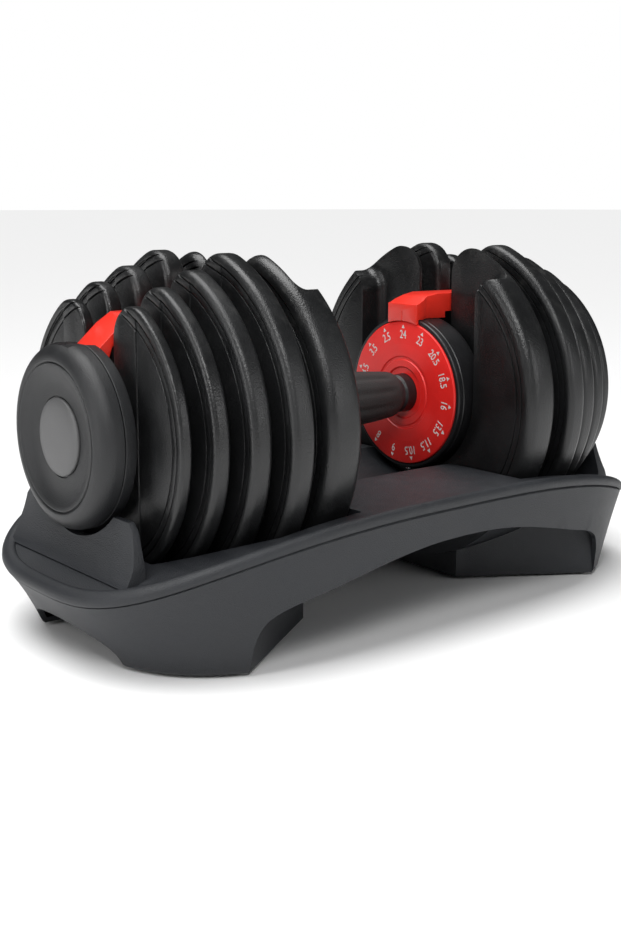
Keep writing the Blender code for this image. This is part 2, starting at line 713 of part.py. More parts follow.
def build_base_shell(finishes):
    """The skirt with its legs: an outer wall that leans in, and an inner wall round each leg."""
    skirt = hull((skirt_level(0.0), skirt_level(1.0)))
    shell = add_object("base_shell", skirt, finishes["base"], (0, 0, 0))
    inside = (skirt_level(-0.3, BASE_WALL), skirt_level(1.5, BASE_WALL))
    floor = FLOOR_GAP + LEG_FLOOR
    leg = leg_outline(BASE_WALL)
    combine(shell, confined("right_leg_room", inside, leg, floor))
    combine(shell, confined("left_leg_room", inside, mirrored(leg), floor))
    combine(shell, tunnel_room(inside))
    for name, side in SIDES:
        opening = along_x(end_arch_outline(), side * FOOT_PLACE[0], side * (BASE_HALF[0] + 2 * BEYOND))
        combine(shell, cutter(f"{name}_end_arch", opening))
    combine(shell, cutter("tub_room", turned(well_profile(BASE_WALL + GAP), WELL_SIDES)))


def well_profile(grow):
    """(x, radius) of the trough and of the stepped wells, one step a plate, grown by a wall."""
    half = [(PLATE_SPAN[-1][0] - WELL_GAP - grow, TROUGH_RADIUS + grow)]
    x = half[0][0]
    for index in reversed(range(len(PLATE_LOAD))):
        radius = PLATE_RADIUS[index] + WELL_GAP + grow
        smaller = index > 0 and PLATE_RADIUS[index - 1] < PLATE_RADIUS[index]
        end = PLATE_SPAN[index][1] + WELL_GAP + (grow if smaller or index == 0 else -grow)
        half += [(x, radius), (end, radius)]
        x = end
    half.append((x, 0.0))
    return [(-a, r) for a, r in reversed(half)] + half


def saddle_outline():
    """(y, z over the axis) of the wall under a knob, before its round cradle is cut."""
    y, z = SADDLE_PEAK
    low = edge_z(SADDLE_X[0]) - AXLE_Z
    top = z - AXLE_Z
    half = [(SADDLE_FOOT, low), (SADDLE_FOOT, low + 0.010)]
    half += [(y + 2 * SADDLE_TIP, top - SADDLE_TIP), (y + SADDLE_TIP, top), (y - SADDLE_TIP, top)]
    return half + [(-a, b) for a, b in reversed(half)]


def build_base_tray(finishes):
    """The top moulding: a rolled lip, a deck, stepped wells for the plates and saddles for the knobs."""
    deck = LIP_HEIGHT - LIP_STEP
    slab = hull(((RIM_INSET, edge_z), (0.0, over_edge(0.0015)),
                 (0.0, over_edge(LIP_HEIGHT - LIP_ROUND)), (LIP_ROUND, over_edge(LIP_HEIGHT))))
    tray = add_object("base_tray", slab, finishes["base"], (0, 0, 0))
    sunk = hull(((LIP_WIDTH + 0.001, over_edge(deck)), (LIP_WIDTH - 0.001, over_edge(0.05))))
    combine(tray, cutter("deck_room", sunk))
    tub = cutter("tub", turned(well_profile(BASE_WALL), WELL_SIDES))
    region = hull(((TUB_INSET, lambda x: 0.0), (TUB_INSET, over_edge(deck - 0.001))))
    combine(tub, cutter("tub_region", region), "INTERSECT")
    combine(tray, tub, "UNION")
    for name, side in SIDES:
        saddle = along_x(saddle_outline(), side * SADDLE_X[0], side * SADDLE_X[1])
        combine(tray, cutter(f"{name}_saddle", saddle), "UNION")
    combine(tray, cutter("wells", turned(well_profile(0.0), WELL_SIDES)))
    for name, side in SIDES:
        low, high, radius = SADDLE_X[0] - 2 * BEYOND, BASE_HALF[0] + 2 * BEYOND, KNOB_RADIUS + CRADLE_GAP
        cradle = [(low, 0.0), (low, radius), (high, radius), (high, 0.0)]
        combine(tray, cutter(f"{name}_cradle", turned([(side * x, r) for x, r in cradle], WELL_SIDES)))


def build_release_post(name, side, finishes):
    """The post in the trough that pushes a lock pin up while the bell is in its tray."""
    foot = AXLE_Z - TROUGH_RADIUS + GAP
    post = upright(side * PIN_X, 0, foot, PIN_BOTTOM - GAP, POST_RADIUS, 12)
    add_object(f"{name}_release_post", post, finishes["black"], (side * PIN_X, 0, foot))


def build_feet(finishes):
    for name, side in SIDES:
        for end, front in (("front", -1), ("rear", 1)):
            x, y = side * FOOT_PLACE[0], front * FOOT_PLACE[1]
            foot = upright(x, y, 0.0, FLOOR_GAP - GAP, FOOT_RADIUS, 24)
            add_object(f"{name}_{end}_foot", foot, finishes["rubber"], (x, y, 0.0))


# ---- The whole object ----------------------------------------------------------------------------

def make_finishes():
    return {
        "plate": material("plate_coat", (0.022, 0.023, 0.025), 0.42),
        "base": material("base_plastic", (0.035, 0.038, 0.043), 0.55),
        "knob": material("knob_plastic", (0.020, 0.021, 0.023), 0.45),
        "cap": material("cap_plastic", (0.15, 0.15, 0.155), 0.5),
        "red": material("bridge_plastic", (0.72, 0.035, 0.020), 0.35),
        "dial": material("dial_plastic", (0.62, 0.020, 0.015), 0.4),
        "grip": material("grip_rubber", (0.018, 0.018, 0.018), 0.8),
        "black": material("housing_plastic", (0.012, 0.012, 0.013), 0.4),
        "disc": material("disc_nylon", (0.03, 0.03, 0.03), 0.5),
        "steel": material("axle_steel", (0.55, 0.55, 0.56), 0.3, 1.0),
        "rubber": material("foot_rubber", (0.02, 0.02, 0.02), 0.9),
    }


def main():
    for obj in list(bpy.data.objects):
        bpy.data.objects.remove(obj, do_unlink=True)
    bpy.context.scene.unit_settings.scale_length = 1.0
    finishes = make_finishes()
    build_base_tray(finishes)
    build_base_shell(finishes)
    build_feet(finishes)
    build_handle_core(finishes)
    for name, side in SIDES:
        build_release_post(name, side, finishes)
        build_collar(name, side, finishes)
        build_housing(name, side, finishes)
        build_bridge(name, side, finishes)
        build_end_plate(name, side, finishes)
        build_axle_nut(name, side, finishes)
        build_lock(name, side, finishes)
        build_dial(name, side, finishes)
        build_sleeve(name, side, finishes)
        build_knob_skirt(name, side, finishes)
        build_knob_shell(name, side, finishes)
        build_knob_cap(name, side, finishes)
        for index in range(len(PLATE_LOAD)):
            build_plate(index, name, side, finishes["plate"])
            build_disc(index, name, side, finishes["disc"])


main()
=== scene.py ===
"""Dial-select adjustable dumbbell in its tray: mouldings, plates, dials and finishes over the CAD frame."""

import math

import bmesh
import bpy
from bpy.props import FloatProperty, FloatVectorProperty, IntProperty, PointerProperty
from mathutils import Matrix, Vector


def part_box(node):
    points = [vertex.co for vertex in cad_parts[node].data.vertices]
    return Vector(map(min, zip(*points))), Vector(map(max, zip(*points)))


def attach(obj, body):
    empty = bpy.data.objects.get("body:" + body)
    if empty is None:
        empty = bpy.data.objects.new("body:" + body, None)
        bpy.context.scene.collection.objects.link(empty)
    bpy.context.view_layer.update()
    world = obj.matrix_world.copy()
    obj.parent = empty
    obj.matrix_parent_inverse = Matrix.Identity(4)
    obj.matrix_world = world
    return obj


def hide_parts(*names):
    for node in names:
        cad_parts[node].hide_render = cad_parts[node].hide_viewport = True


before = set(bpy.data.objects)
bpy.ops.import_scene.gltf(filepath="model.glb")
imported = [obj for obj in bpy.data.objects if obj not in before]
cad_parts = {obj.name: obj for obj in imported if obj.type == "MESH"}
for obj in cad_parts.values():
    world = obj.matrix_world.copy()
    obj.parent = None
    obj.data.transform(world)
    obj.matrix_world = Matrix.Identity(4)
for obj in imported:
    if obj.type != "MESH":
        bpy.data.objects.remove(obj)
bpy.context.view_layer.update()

bl_info = {
    "name": "Dial-select dumbbell",
    "version": (1, 0, 0),
    "blender": (4, 5, 0),
    "location": "3D View > Sidebar > Dumbbell",
    "description": "Builds the visible pieces of an adjustable dumbbell and its tray over a CAD frame",
    "category": "Object",
}

SIDES = (("left", -1), ("right", 1))
GAP = 0.0003
PLATE_COUNT = 5

# Marks on the dial, clockwise from the one under the pointer
DIAL_MARKS = ("24", "23", "20.5", "18.5", "16", "13.5", "11.5", "10.5", "9", "8", "7", "5.5", "4.5", "3.5",
              "2.5")

# Plates: rounding of each rim, outermost first, and the lug that lifts each one
RIM_ROUNDING = (0.002, 0.003, 0.004, 0.0042, 0.0075)
LUG_STAND = 0.0028
LUG_RADIUS = 0.0249
LUG_HALF = 0.0069
LUG_TOP = -0.0179

# Radii of holes
GRIP_BORE = 0.0083
DIAL_BORE = 0.0128
HOUSING_BORE = 0.0113
SEAT_HOLE = 0.010                  # in the knob, under its cap
PIN_HOLE = 0.0023
SCREW_HOLE = 0.0018

FLAT_DEPTH = 0.0026                # of the flat at the knob's top
TOE_LOW = 0.033                    # lowest point of the bridge's toe over the axle
SCORE_DEPTH = 0.00045              # of the line down the pointer
SCORE_HALF = 0.00022
CAPITAL_HEIGHT = 0.70              # height of a figure at a text size of 1

# Tray: (x, z) along half of the arch in a long side, the arch in each end, and the saddles' span in x
SIDE_ARCH = ((0.143, -0.01), (0.1415, 0.008), (0.140, 0.019), (0.1365, 0.027), (0.131, 0.032),
             (0.120, 0.0365), (0.101, 0.041), (0.076, 0.047), (0.050, 0.0522), (0.025, 0.0552), (0.0, 0.056))
END_ARCH_HALF = 0.045
END_ARCH_HEIGHT = 0.020
SADDLE_X = (0.1845, 0.196)
RIM_INSET = 0.0012                 # how far the skirt's rim stands in from the tray's outline
LIP_WIDTH = 0.0075
LEG_FLOOR = 0.003                  # thickness under the hollow of a leg
BEYOND = 0.02                      # how far a cutter reaches past the tray
ABOVE_TRAY = 0.12

MOTTLE_GAIN = 2.2                  # how much lighter a fully mottled patch is, for each unit of mottle
STREAK_SHARE = 0.35
WHITE = (1.0, 1.0, 1.0, 1.0)
FLOOR_HALF = 60.0
ON_AXIS = 1e-6                     # a radius or a reach that counts as none


def across(node, axis):
    """(lowest, highest) of a CAD node along one axis, with a left-hand node mirrored to the right."""
    low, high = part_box(node)
    if axis == 0 and node.startswith("left"):
        return -high[0], -low[0]
    return low[axis], high[axis]


def middle_z(node):
    low, high = across(node, 2)
    return (low + high) / 2


AXLE_Z = middle_z("left_dial")


# ---- Sizes and colours ---------------------------------------------------------------------------

def metres(name, value, description):
    return FloatProperty(name=name, description=description, default=value, min=0.0, max=1.0,
                         subtype="DISTANCE", unit="LENGTH", precision=5)


def in_plan(name, value, description):
    return FloatVectorProperty(name=name, description=description, default=value, size=2, unit="LENGTH",
                               precision=4)


def colour(name, value, description):
    return FloatVectorProperty(name=name, description=description, default=value, size=3, min=0.0,
                               max=1.0, subtype="COLOR")


class PlateSizes(bpy.types.PropertyGroup):
    slot_half: metres("Slot half width", 0.015, "Half the width of the slot in every plate")
    horn_round: metres("Horn rounding", 0.018, "Radius of the two horns beside the slot")
    lug_stand: metres("Lug", LUG_STAND, "How far the lifting lug stands out of a plate's outer face")
    band_half: metres("Slot band", 0.0385, "Half width of the raised band beside the slot")
    rim_band: metres("Rim band", 0.0045, "Width of the raised band at the rim")
    panel_depth: metres("Panel depth", 0.0008, "How far the panels of the outer face are sunk")
    groove_width: metres("Groove width", 0.0011, "Width of the two ring grooves")
    groove_depth: metres("Groove depth", 0.0011, "Depth of the two ring grooves")
    groove_pitch: metres("Groove pitch", 0.0042, "Distance between the two ring grooves")
    tall_thick: metres("Tall part", 0.007, "Thickness of the innermost plate over its shoulders")
    shoulder_height: metres("Shoulder height", 0.0775, "Height of the innermost plate's shoulders")
    shoulder_round: metres("Shoulder rounding", 0.014, "Rounding between shoulder and recess")
    recess_gap: metres("Recess gap", 0.0025, "Room round the housing in the innermost plate")
    step_fillet: metres("Step fillet", 0.006, "Fillet between shoulder and tall part")


class KnobSizes(bpy.types.PropertyGroup):
    face_radius: metres("Face radius", 0.042, "Radius of the groove round the knob's face")
    dish_radius: metres("Dish radius", 0.0385, "Outer radius of the dished ring")
    dish_depth: metres("Dish depth", 0.0038, "Depth of the dished ring")
    wall: metres("Wall", 0.003, "Wall of the knob's mouldings")
    tab_depth: metres("Tab depth", 0.0045, "How far the rear ring's tab reaches into the front shell")
    tab_angle: FloatProperty(name="Tab angle", description="Half angle of the tab", default=math.radians(10),
                             subtype="ANGLE", unit="ROTATION")


class DialSizes(bpy.types.PropertyGroup):
    figure_height: metres("Figure height", 0.0054, "Height of the figures")
    figure_radius: metres("Figure radius", 0.0362, "Radius of the figures' foot line")
    arrow_radius: metres("Arrow radius", 0.0437, "Radius of the arrows")
    arrow_size: metres("Arrow size", 0.0016, "Size of an arrow")
    print_thick: metres("Print thickness", 0.00012, "Thickness of the printed marks")
    steps: IntProperty(name="Settings", description="Number of settings round the dial", default=15, min=3)


class TraySizes(bpy.types.PropertyGroup):
    power: FloatProperty(name="Plan power", description="Exponent of the plan's superellipse", default=3.14)
    edge_middle: metres("Edge, middle", 0.0738, "Height of the parting line at the middle")
    edge_end: metres("Edge, ends", 0.0367, "Height of the parting line at the ends")
    edge_power: FloatProperty(name="Edge power", description="How late the parting line dips", default=2.88)
    foot_inset_x: metres("Foot inset, ends", 0.023, "How far the skirt leans in at the ends")
    foot_inset_y: metres("Foot inset, sides", 0.0045, "How far the skirt leans in at the long sides")
    lip_height: metres("Lip height", 0.0065, "Height of the rolled lip over the parting line")
    deck_height: metres("Deck height", 0.004, "Height of the deck over the parting line")
    wall: metres("Wall", 0.0032, "Wall of the mouldings")
    well_gap: metres("Well gap", 0.0022, "Room round each plate")
    trough: metres("Trough radius", 0.057, "Radius of the trough under the dials")
    leg_corner: in_plan("Leg corner", (0.0645, 0.044), "Where a leg's inner wall turns")
    leg_front: in_plan("Leg front", (0.134, 0.089), "Where a leg's inner wall meets the skirt")
    cradle_gap: metres("Cradle gap", 0.0035, "Room round each knob")
    saddle_peak_y: metres("Saddle peak, y", 0.050, "Distance of a saddle's peaks from the middle")
    saddle_peak_z: metres("Saddle peak, z", 0.082, "Height of a saddle's peaks")


class FinishColours(bpy.types.PropertyGroup):
    plate: colour("Plates", (0.0065, 0.0068, 0.0072), "Coated iron")
    base: colour("Tray", (0.0120, 0.0135, 0.0165), "Tray plastic")
    knob: colour("Knobs", (0.0075, 0.0080, 0.0090), "Knob plastic")
    cap: colour("Knob caps", (0.085, 0.085, 0.086), "Grey caps")
    red: colour("Bridges", (0.80, 0.030, 0.016), "Red bridges")
    dial: colour("Dials", (0.86, 0.022, 0.018), "Red dials")
    black: colour("Housings", (0.010, 0.010, 0.011), "Black housings and collars")
    grip: colour("Grip", (0.014, 0.014, 0.014), "Grip rubber")
    steel: colour("Steel", (0.52, 0.52, 0.53), "Turned steel")
    mark: colour("Marks", (0.82, 0.82, 0.80), "Printed marks")


class HandleSizes(bpy.types.PropertyGroup):
    grip_end: metres("Grip end", 0.0146, "Radius of the grip at its ends")
    grip_swell: metres("Grip swell", 0.0030, "How much the grip swells in the middle")
    flute_depth: metres("Flute depth", 0.0009, "Depth of the grip's finger flutes")
    flutes: IntProperty(name="Flutes", description="Number of flutes round the grip", default=10, min=3)
    bridge_half: metres("Bridge half width", 0.0126, "Half the width of the red bridge")
    pointer_half: metres("Pointer half width", 0.0134, "Half the width of its pointer")
    bridge_top: metres("Bridge top", 0.0655, "Height of the bridge over the axle")
    bridge_under: metres("Bridge underside", 0.0535, "Height of its underside over the axle")
    pointer_top: metres("Pointer top", 0.059, "Height of the pointer over the axle")
    bridge_toe: metres("Bridge toe", 0.0475, "Height over the axle of the end that slopes down to the knob")


class StageSettings(bpy.types.PropertyGroup):
    floor: colour("Floor", (0.90, 0.90, 0.90), "Pale floor")
    world: FloatProperty(name="World", description="Brightness of the plain white surroundings", default=0.05)
    overhead: FloatProperty(name="Overhead", description="Strength of the broad light overhead", default=3.3)
    key: FloatProperty(name="Light", description="Power of the light over the front", default=11.0,
                       subtype="POWER", unit="POWER")
    lens: FloatProperty(name="Lens", description="Focal length", default=47.87, subtype="DISTANCE_CAMERA",
                        unit="CAMERA")
    eye: FloatVectorProperty(name="Camera", description="Place of the camera", subtype="TRANSLATION", size=3,
                             default=(-0.5072, -0.5901, 0.2428))
    heading: FloatProperty(name="Heading", description="Turn of the view from +Y to +X",
                           default=math.radians(39.38), subtype="ANGLE")
    pitch: FloatProperty(name="Pitch", description="Slope of the view", default=math.radians(-8.88),
                         subtype="ANGLE")
    shift: FloatProperty(name="Shift", description="Vertical shift of the frame", default=-0.0716)


# ---- Shader groups -------------------------------------------------------------------------------

def feed(tree, socket, value):
    """Links a socket to another one, or sets it to a value."""
    if isinstance(value, bpy.types.NodeSocket):
        tree.links.new(value, socket)
    else:
        socket.default_value = value


def add(tree, kind, inputs=(), **settings):
    """A new node with its settings, and its inputs fed by name or number."""
    node = tree.nodes.new(kind)
    for label, value in settings.items():
        setattr(node, label, value)
    for label, value in dict(inputs).items():
        feed(tree, node.inputs[label], value)
    return node


def new_group(name, inputs, outputs):
    """A shader group's tree and its two ends' sockets. An input without a value is a vector."""
    tree = bpy.data.node_groups.new(name, "ShaderNodeTree")
    for label, value in inputs.items():
        kind = "NodeSocketVector" if value is None else "NodeSocketFloat"
        made = tree.interface.new_socket(name=label, in_out="INPUT", socket_type=kind)
        if value is not None:
            made.default_value = value
    for label in outputs:
        tree.interface.new_socket(name=label, in_out="OUTPUT", socket_type="NodeSocketFloat")
    return tree, tree.nodes.new("NodeGroupInput").outputs, tree.nodes.new("NodeGroupOutput").inputs


def calc(tree, operation, *values, clamp=False):
    """A Math node fed with sockets or numbers."""
    return add(tree, "ShaderNodeMath", enumerate(values), operation=operation, use_clamp=clamp).outputs[0]


def noise(tree, vector, scale, detail=3.0, rough=0.55):
    inputs = {"Vector": vector, "Scale": scale, "Detail": detail, "Roughness": rough}
    return add(tree, "ShaderNodeTexNoise", inputs).outputs["Fac"]


def spread(tree, value, low, high):
    """A value mapped from low..high to 0..1 with smooth ends."""
    inputs = {"Value": value, "From Min": low, "From Max": high}
    return add(tree, "ShaderNodeMapRange", inputs, interpolation_type="SMOOTHSTEP").outputs["Result"]


def grain_group():
    """Moulded or coated surface: fine grain and soft unevenness as a height, and a mottle mask."""
    tree, start, end = new_group("Surface grain", {"Vector": None, "Grain scale": 900.0, "Unevenness": 0.3},
                                 ("Height", "Mottle"))
    vector, scale = start["Vector"], start["Grain scale"]
    cells = add(tree, "ShaderNodeTexVoronoi", {"Vector": vector, "Scale": scale})
    pebble = calc(tree, "ADD", noise(tree, vector, scale, 2.0), cells.outputs["Distance"])
    broad = calc(tree, "MULTIPLY", noise(tree, vector, 38.0), start["Unevenness"])
    feed(tree, end["Height"], calc(tree, "ADD", pebble, broad))
    feed(tree, end["Mottle"], spread(tree, noise(tree, vector, 22.0, 5.0, 0.65), 0.32, 0.72))


def scuff_highlight_group():
    """Scuffed patches kept to a band of height at the top, which paint a highlight there as well as scuffing,
    and long scuff streaks, as two masks.
    """
    tree, start, end = new_group(
        "Scuffs and painted top highlight",
        {"Vector": None, "Scale": 60.0, "Amount": 0.5, "From height": 0.15, "To height": 0.215},
        ("Scuffs and painted highlight", "Streaks"))
    vector, amount = start["Vector"], start["Amount"]
    place = add(tree, "ShaderNodeSeparateXYZ", {0: vector}).outputs
    # The band of height lightens each part's top: painted highlight along with the scuffs.
    band = spread(tree, place["Z"], start["From height"], start["To height"])
    patches = spread(tree, noise(tree, vector, start["Scale"], 8.0, 0.72), 0.50, 0.74)
    stretch = add(tree, "ShaderNodeVectorMath", {0: vector, 1: (6.0, 1.0, 1.0)}, operation="MULTIPLY")
    lines = spread(tree, noise(tree, stretch.outputs[0], 120.0, 6.0, 0.7), 0.58, 0.78)
    patches = calc(tree, "MULTIPLY", patches, band)
    feed(tree, end["Scuffs and painted highlight"], calc(tree, "MULTIPLY", patches, amount, clamp=True))
    feed(tree, end["Streaks"], calc(tree, "MULTIPLY", lines, amount, clamp=True))


def turning_group():
    """Fine concentric lines round the handle's axis as a height, and the distance from that axis."""
    tree, start, end = new_group("Turned lines",
                                 {"Vector": None, "Lines per metre": 1400.0, "Axle height": AXLE_Z},
                                 ("Height", "Radius"))
    place = add(tree, "ShaderNodeSeparateXYZ", {0: start["Vector"]}).outputs
    up = calc(tree, "SUBTRACT", place["Z"], start["Axle height"])
    squares = [calc(tree, "MULTIPLY", away, away) for away in (up, place["Y"])]
    radius = calc(tree, "SQRT", calc(tree, "ADD", *squares))
    along = calc(tree, "ADD", radius, place["X"])
    rate = calc(tree, "MULTIPLY", start["Lines per metre"], 2 * math.pi)
    feed(tree, end["Height"], calc(tree, "SINE", calc(tree, "MULTIPLY", along, rate)))
    feed(tree, end["Radius"], radius)


# ---- Finishes ------------------------------------------------------------------------------------

def place_group(tree, name, inputs):
    """The outputs of a shader group placed in a material."""
    return add(tree, "ShaderNodeGroup", inputs, node_tree=bpy.data.node_groups[name]).outputs


def mixed(tree, factor, first, second):
    """A colour between two, where the factor changes over the surface."""
    return add(tree, "ShaderNodeMix", {"Factor": factor, 6: first, 7: second}, data_type="RGBA").outputs[2]


def surface(name, base, roughness, grain=(900.0, 0.02), unevenness=0.3, mottle=0.15, rough_spread=0.1,
            metallic=0.0, coat=0.0, scuff_and_highlight=None, turned_lines=None, rings=()):
    """A Principled material with grain, mottled colour and roughness, and optional scuffs with a painted
    highlight on the upper part, lines and rings.

    grain is its scale and depth in millimetres, scuff_and_highlight holds its group's four values, the
    lighter colour that paints both the scuffs and the highlight, and the roughness it adds, turned_lines
    their rate and height, and each ring its radius, width and height.
    """
    made = bpy.data.materials.new(f"{name} finish")
    made.use_nodes = True
    tree = made.node_tree
    grain_scale, grain_depth = grain
    coords = tree.nodes.new("ShaderNodeTexCoord").outputs["Object"]
    fine = place_group(tree, "Surface grain",
                       {"Vector": coords, "Grain scale": grain_scale, "Unevenness": unevenness})
    lighter = [channel * (1.0 + MOTTLE_GAIN * mottle) for channel in base]
    tint = mixed(tree, fine["Mottle"], (*base, 1.0), (*lighter, 1.0))
    middle = roughness - rough_spread / 2
    gloss = calc(tree, "ADD", calc(tree, "MULTIPLY", fine["Mottle"], rough_spread), middle)
    # Scuffs and a painted highlight: the part's upper band is mixed towards a lighter colour.
    if scuff_and_highlight:
        values, scuff_highlight_colour, rougher = scuff_and_highlight
        labels = ("Scale", "Amount", "From height", "To height")
        scuffed_and_lit = place_group(tree, "Scuffs and painted top highlight", {"Vector": coords, **dict(zip(labels, values))})
        mask = calc(tree, "MAXIMUM", scuffed_and_lit["Scuffs and painted highlight"], calc(tree, "MULTIPLY", scuffed_and_lit["Streaks"], STREAK_SHARE))
        tint = mixed(tree, mask, tint, (*scuff_highlight_colour, 1.0))
        gloss = calc(tree, "ADD", gloss, calc(tree, "MULTIPLY", mask, rougher))
    height = fine["Height"]
    if turned_lines or rings:
        rate = {"Lines per metre": turned_lines[0]} if turned_lines else {}
        lathe = place_group(tree, "Turned lines", {"Vector": coords, **rate})
        if turned_lines:
            height = calc(tree, "ADD", height, calc(tree, "MULTIPLY", lathe["Height"], turned_lines[1]))
        for radius, width, rise in rings:
            away = calc(tree, "ABSOLUTE", calc(tree, "SUBTRACT", lathe["Radius"], radius))
            ring = calc(tree, "MULTIPLY", spread(tree, away, 0.0, width), rise)
            height = calc(tree, "ADD", height, ring)
    bump = add(tree, "ShaderNodeBump", {"Strength": 1.0, "Distance": 0.001 * grain_depth, "Height": height})
    sockets = {"Metallic": metallic, "Coat Weight": coat, "Coat Roughness": 0.25, "Base Color": tint,
               "Roughness": gloss, "Normal": bump.outputs["Normal"]}
    for label, value in sockets.items():
        feed(tree, tree.nodes["Principled BSDF"].inputs[label], value)


def make_finishes(tone):
    """Every material of the object, by the name of its slot in the record where it has one."""
    grain_group()
    scuff_highlight_group()
    turning_group()
    # On plates, tray and knobs the lighter colour in a band at the top paints a highlight as well as scuffs.
    surface("plate_coat", tone.plate, 0.36, grain=(1100.0, 0.10), unevenness=0.9, mottle=0.35,
            rough_spread=0.16, scuff_and_highlight=((70.0, 0.55, 0.145, 0.212), (0.055, 0.055, 0.052), 0.12))
    surface("base_plastic", tone.base, 0.52, grain=(1700.0, 0.16), unevenness=0.15, mottle=0.12,
            rough_spread=0.08, scuff_and_highlight=((120.0, 0.22, 0.05, 0.085), (0.075, 0.078, 0.082), 0.08))
    surface("knob_plastic", tone.knob, 0.46, grain=(2100.0, 0.09), unevenness=0.1, mottle=0.10,
            rough_spread=0.08, scuff_and_highlight=((90.0, 0.25, 0.10, 0.175), (0.06, 0.06, 0.062), 0.1))
    surface("cap_plastic", tone.cap, 0.48, grain=(2300.0, 0.05), mottle=0.05, turned_lines=(900.0, 0.12))
    surface("bridge_plastic", tone.red, 0.34, grain=(1900.0, 0.04), unevenness=0.5, mottle=0.06, coat=0.25)
    surface("dial_plastic", tone.dial, 0.40, grain=(2200.0, 0.06), mottle=0.06, coat=0.1,
            rings=((0.0235, 0.0007, -1.2), (0.0325, 0.0005, -0.8)))
    surface("housing_plastic", tone.black, 0.38, grain=(1900.0, 0.05), mottle=0.12)
    surface("grip_rubber", tone.grip, 0.72, grain=(1300.0, 0.22), unevenness=0.4, mottle=0.2)
    surface("disc_nylon", (0.022, 0.022, 0.022), 0.5, grain=(1500.0, 0.08), turned_lines=(1200.0, 0.2))
    surface("axle_steel", tone.steel, 0.28, grain=(800.0, 0.03), metallic=1.0, turned_lines=(2600.0, 0.5))
    surface("foot_rubber", (0.016, 0.016, 0.016), 0.85, grain=(1000.0, 0.3), mottle=0.25)
    surface("mark_white", tone.mark, 0.45, grain=(3000.0, 0.02), mottle=-0.04)


def finish(slot):
    return bpy.data.materials[f"{slot} finish"]


class DUMBBELL_OT_finishes(bpy.types.Operator):
    """Every material, and the finish of each CAD node that stays in view"""
    bl_idname = "dumbbell.finishes"
    bl_label = "Finishes"

    def execute(self, context):
        make_finishes(context.scene.dumbbell_finishes)
        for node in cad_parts.values():
            slot = node.material_slots[0].material.name
            node.material_slots[0].material = finish(slot)
        return {"FINISHED"}


# ---- Mesh helpers --------------------------------------------------------------------------------

def skin(made, loops):
    """Faces between neighbouring loops of vertices. A vertex that a face meets twice is used once."""
    for low, high in zip(loops, loops[1:]):
        for i in range(len(low)):
            j = (i + 1) % len(low)
            corners = list(dict.fromkeys((low[i], low[j], high[j], high[i])))
            if len(corners) > 2:
                made.faces.new(corners)


def loft(rings):
    """A closed solid through rings of equal point counts."""
    made = bmesh.new()
    loops = [[made.verts.new(point) for point in ring] for ring in rings]
    skin(made, loops)
    made.faces.new(loops[0])
    made.faces.new(loops[-1])
    return made


def turns(count):
    return [2 * math.pi * k / count for k in range(count)]


def round_axle(x, radius, turn):
    """A point at a distance and a turn from the handle's axis."""
    return x, radius * math.sin(turn), AXLE_Z + radius * math.cos(turn)


def turned(profile, segments=96):
    """A solid of revolution about the handle's axis from (x, radius) points."""
    made = bmesh.new()
    loops = []
    for x, radius in profile:
        if radius < ON_AXIS:
            loops.append([made.verts.new((x, 0.0, AXLE_Z))] * segments)
        else:
            loops.append([made.verts.new(round_axle(x, radius, turn)) for turn in turns(segments)])
    if profile[0][1] > ON_AXIS:
        loops.append(loops[0])
    skin(made, loops)
    return made


def turned_at(side, profile, segments=96):
    return turned([(side * x, radius) for x, radius in profile], segments)


def along_x(outline, x0, x1):
    return loft([[(x, y, AXLE_Z + z) for y, z in outline] for x in (x0, x1)])


def along_y(outline, y0, y1):
    return loft([[(x, y, z) for x, z in outline] for y in (y0, y1)])


def along_z(outline, z0, z1):
    return loft([[(x, y, z) for x, y in outline] for z in (z0, z1)])


def arc(centre, radius, start, end, steps):
    angles = [math.radians(start + (end - start) * i / steps) for i in range(steps + 1)]
    return [(centre[0] + radius * math.cos(a), centre[1] + radius * math.sin(a)) for a in angles]


def quarter(steps):
    """(cosine, sine) at even steps over a right angle."""
    return [(math.cos(a), math.sin(a)) for a in (math.pi / 2 * k / steps for k in range(steps + 1))]


def rectangle(x0, x1, y0, y1):
    return [(x0, y0), (x1, y0), (x1, y1), (x0, y1)]


def rounded(profile, radius, steps=5):
    """A closed profile with each corner turned into a small arc, no larger than its sides allow."""
    points = []
    count = len(profile)
    for i in range(count):
        before, corner, after = (Vector(profile[(i + k) % count]) for k in (-1, 0, 1))
        back, ahead = before - corner, after - corner
        reach = min(radius, back.length * 0.45, ahead.length * 0.45)
        if corner[1] < ON_AXIS or reach < ON_AXIS:
            points.append(tuple(corner))
            continue
        first, last = corner + back.normalized() * reach, corner + ahead.normalized() * reach
        for k in range(steps + 1):
            t = k / steps
            points.append(tuple((1 - t) ** 2 * first + 2 * t * (1 - t) * corner + t * t * last))
    return points


def link(name, data):
    obj = bpy.data.objects.new(name, data)
    bpy.context.scene.collection.objects.link(obj)
    return obj


def working(name, mesh_maker):
    """A bare object from a bmesh, with its faces pointing out."""
    bmesh.ops.recalc_face_normals(mesh_maker, faces=mesh_maker.faces)
    mesh = bpy.data.meshes.new(name)
    mesh_maker.to_mesh(mesh)
    mesh_maker.free()
    return link(name, mesh)


def combine(obj, mesh_maker, operation="DIFFERENCE"):
    """Applies a Boolean with a solid that is then thrown away."""
    other = mesh_maker if isinstance(mesh_maker, bpy.types.Object) else working("cutter", mesh_maker)
    modifier = obj.modifiers.new("cut", "BOOLEAN")
    modifier.object = other
    modifier.operation = operation
    modifier.solver = "EXACT"
    apply_modifiers(obj)
    bpy.data.objects.remove(other, do_unlink=True)


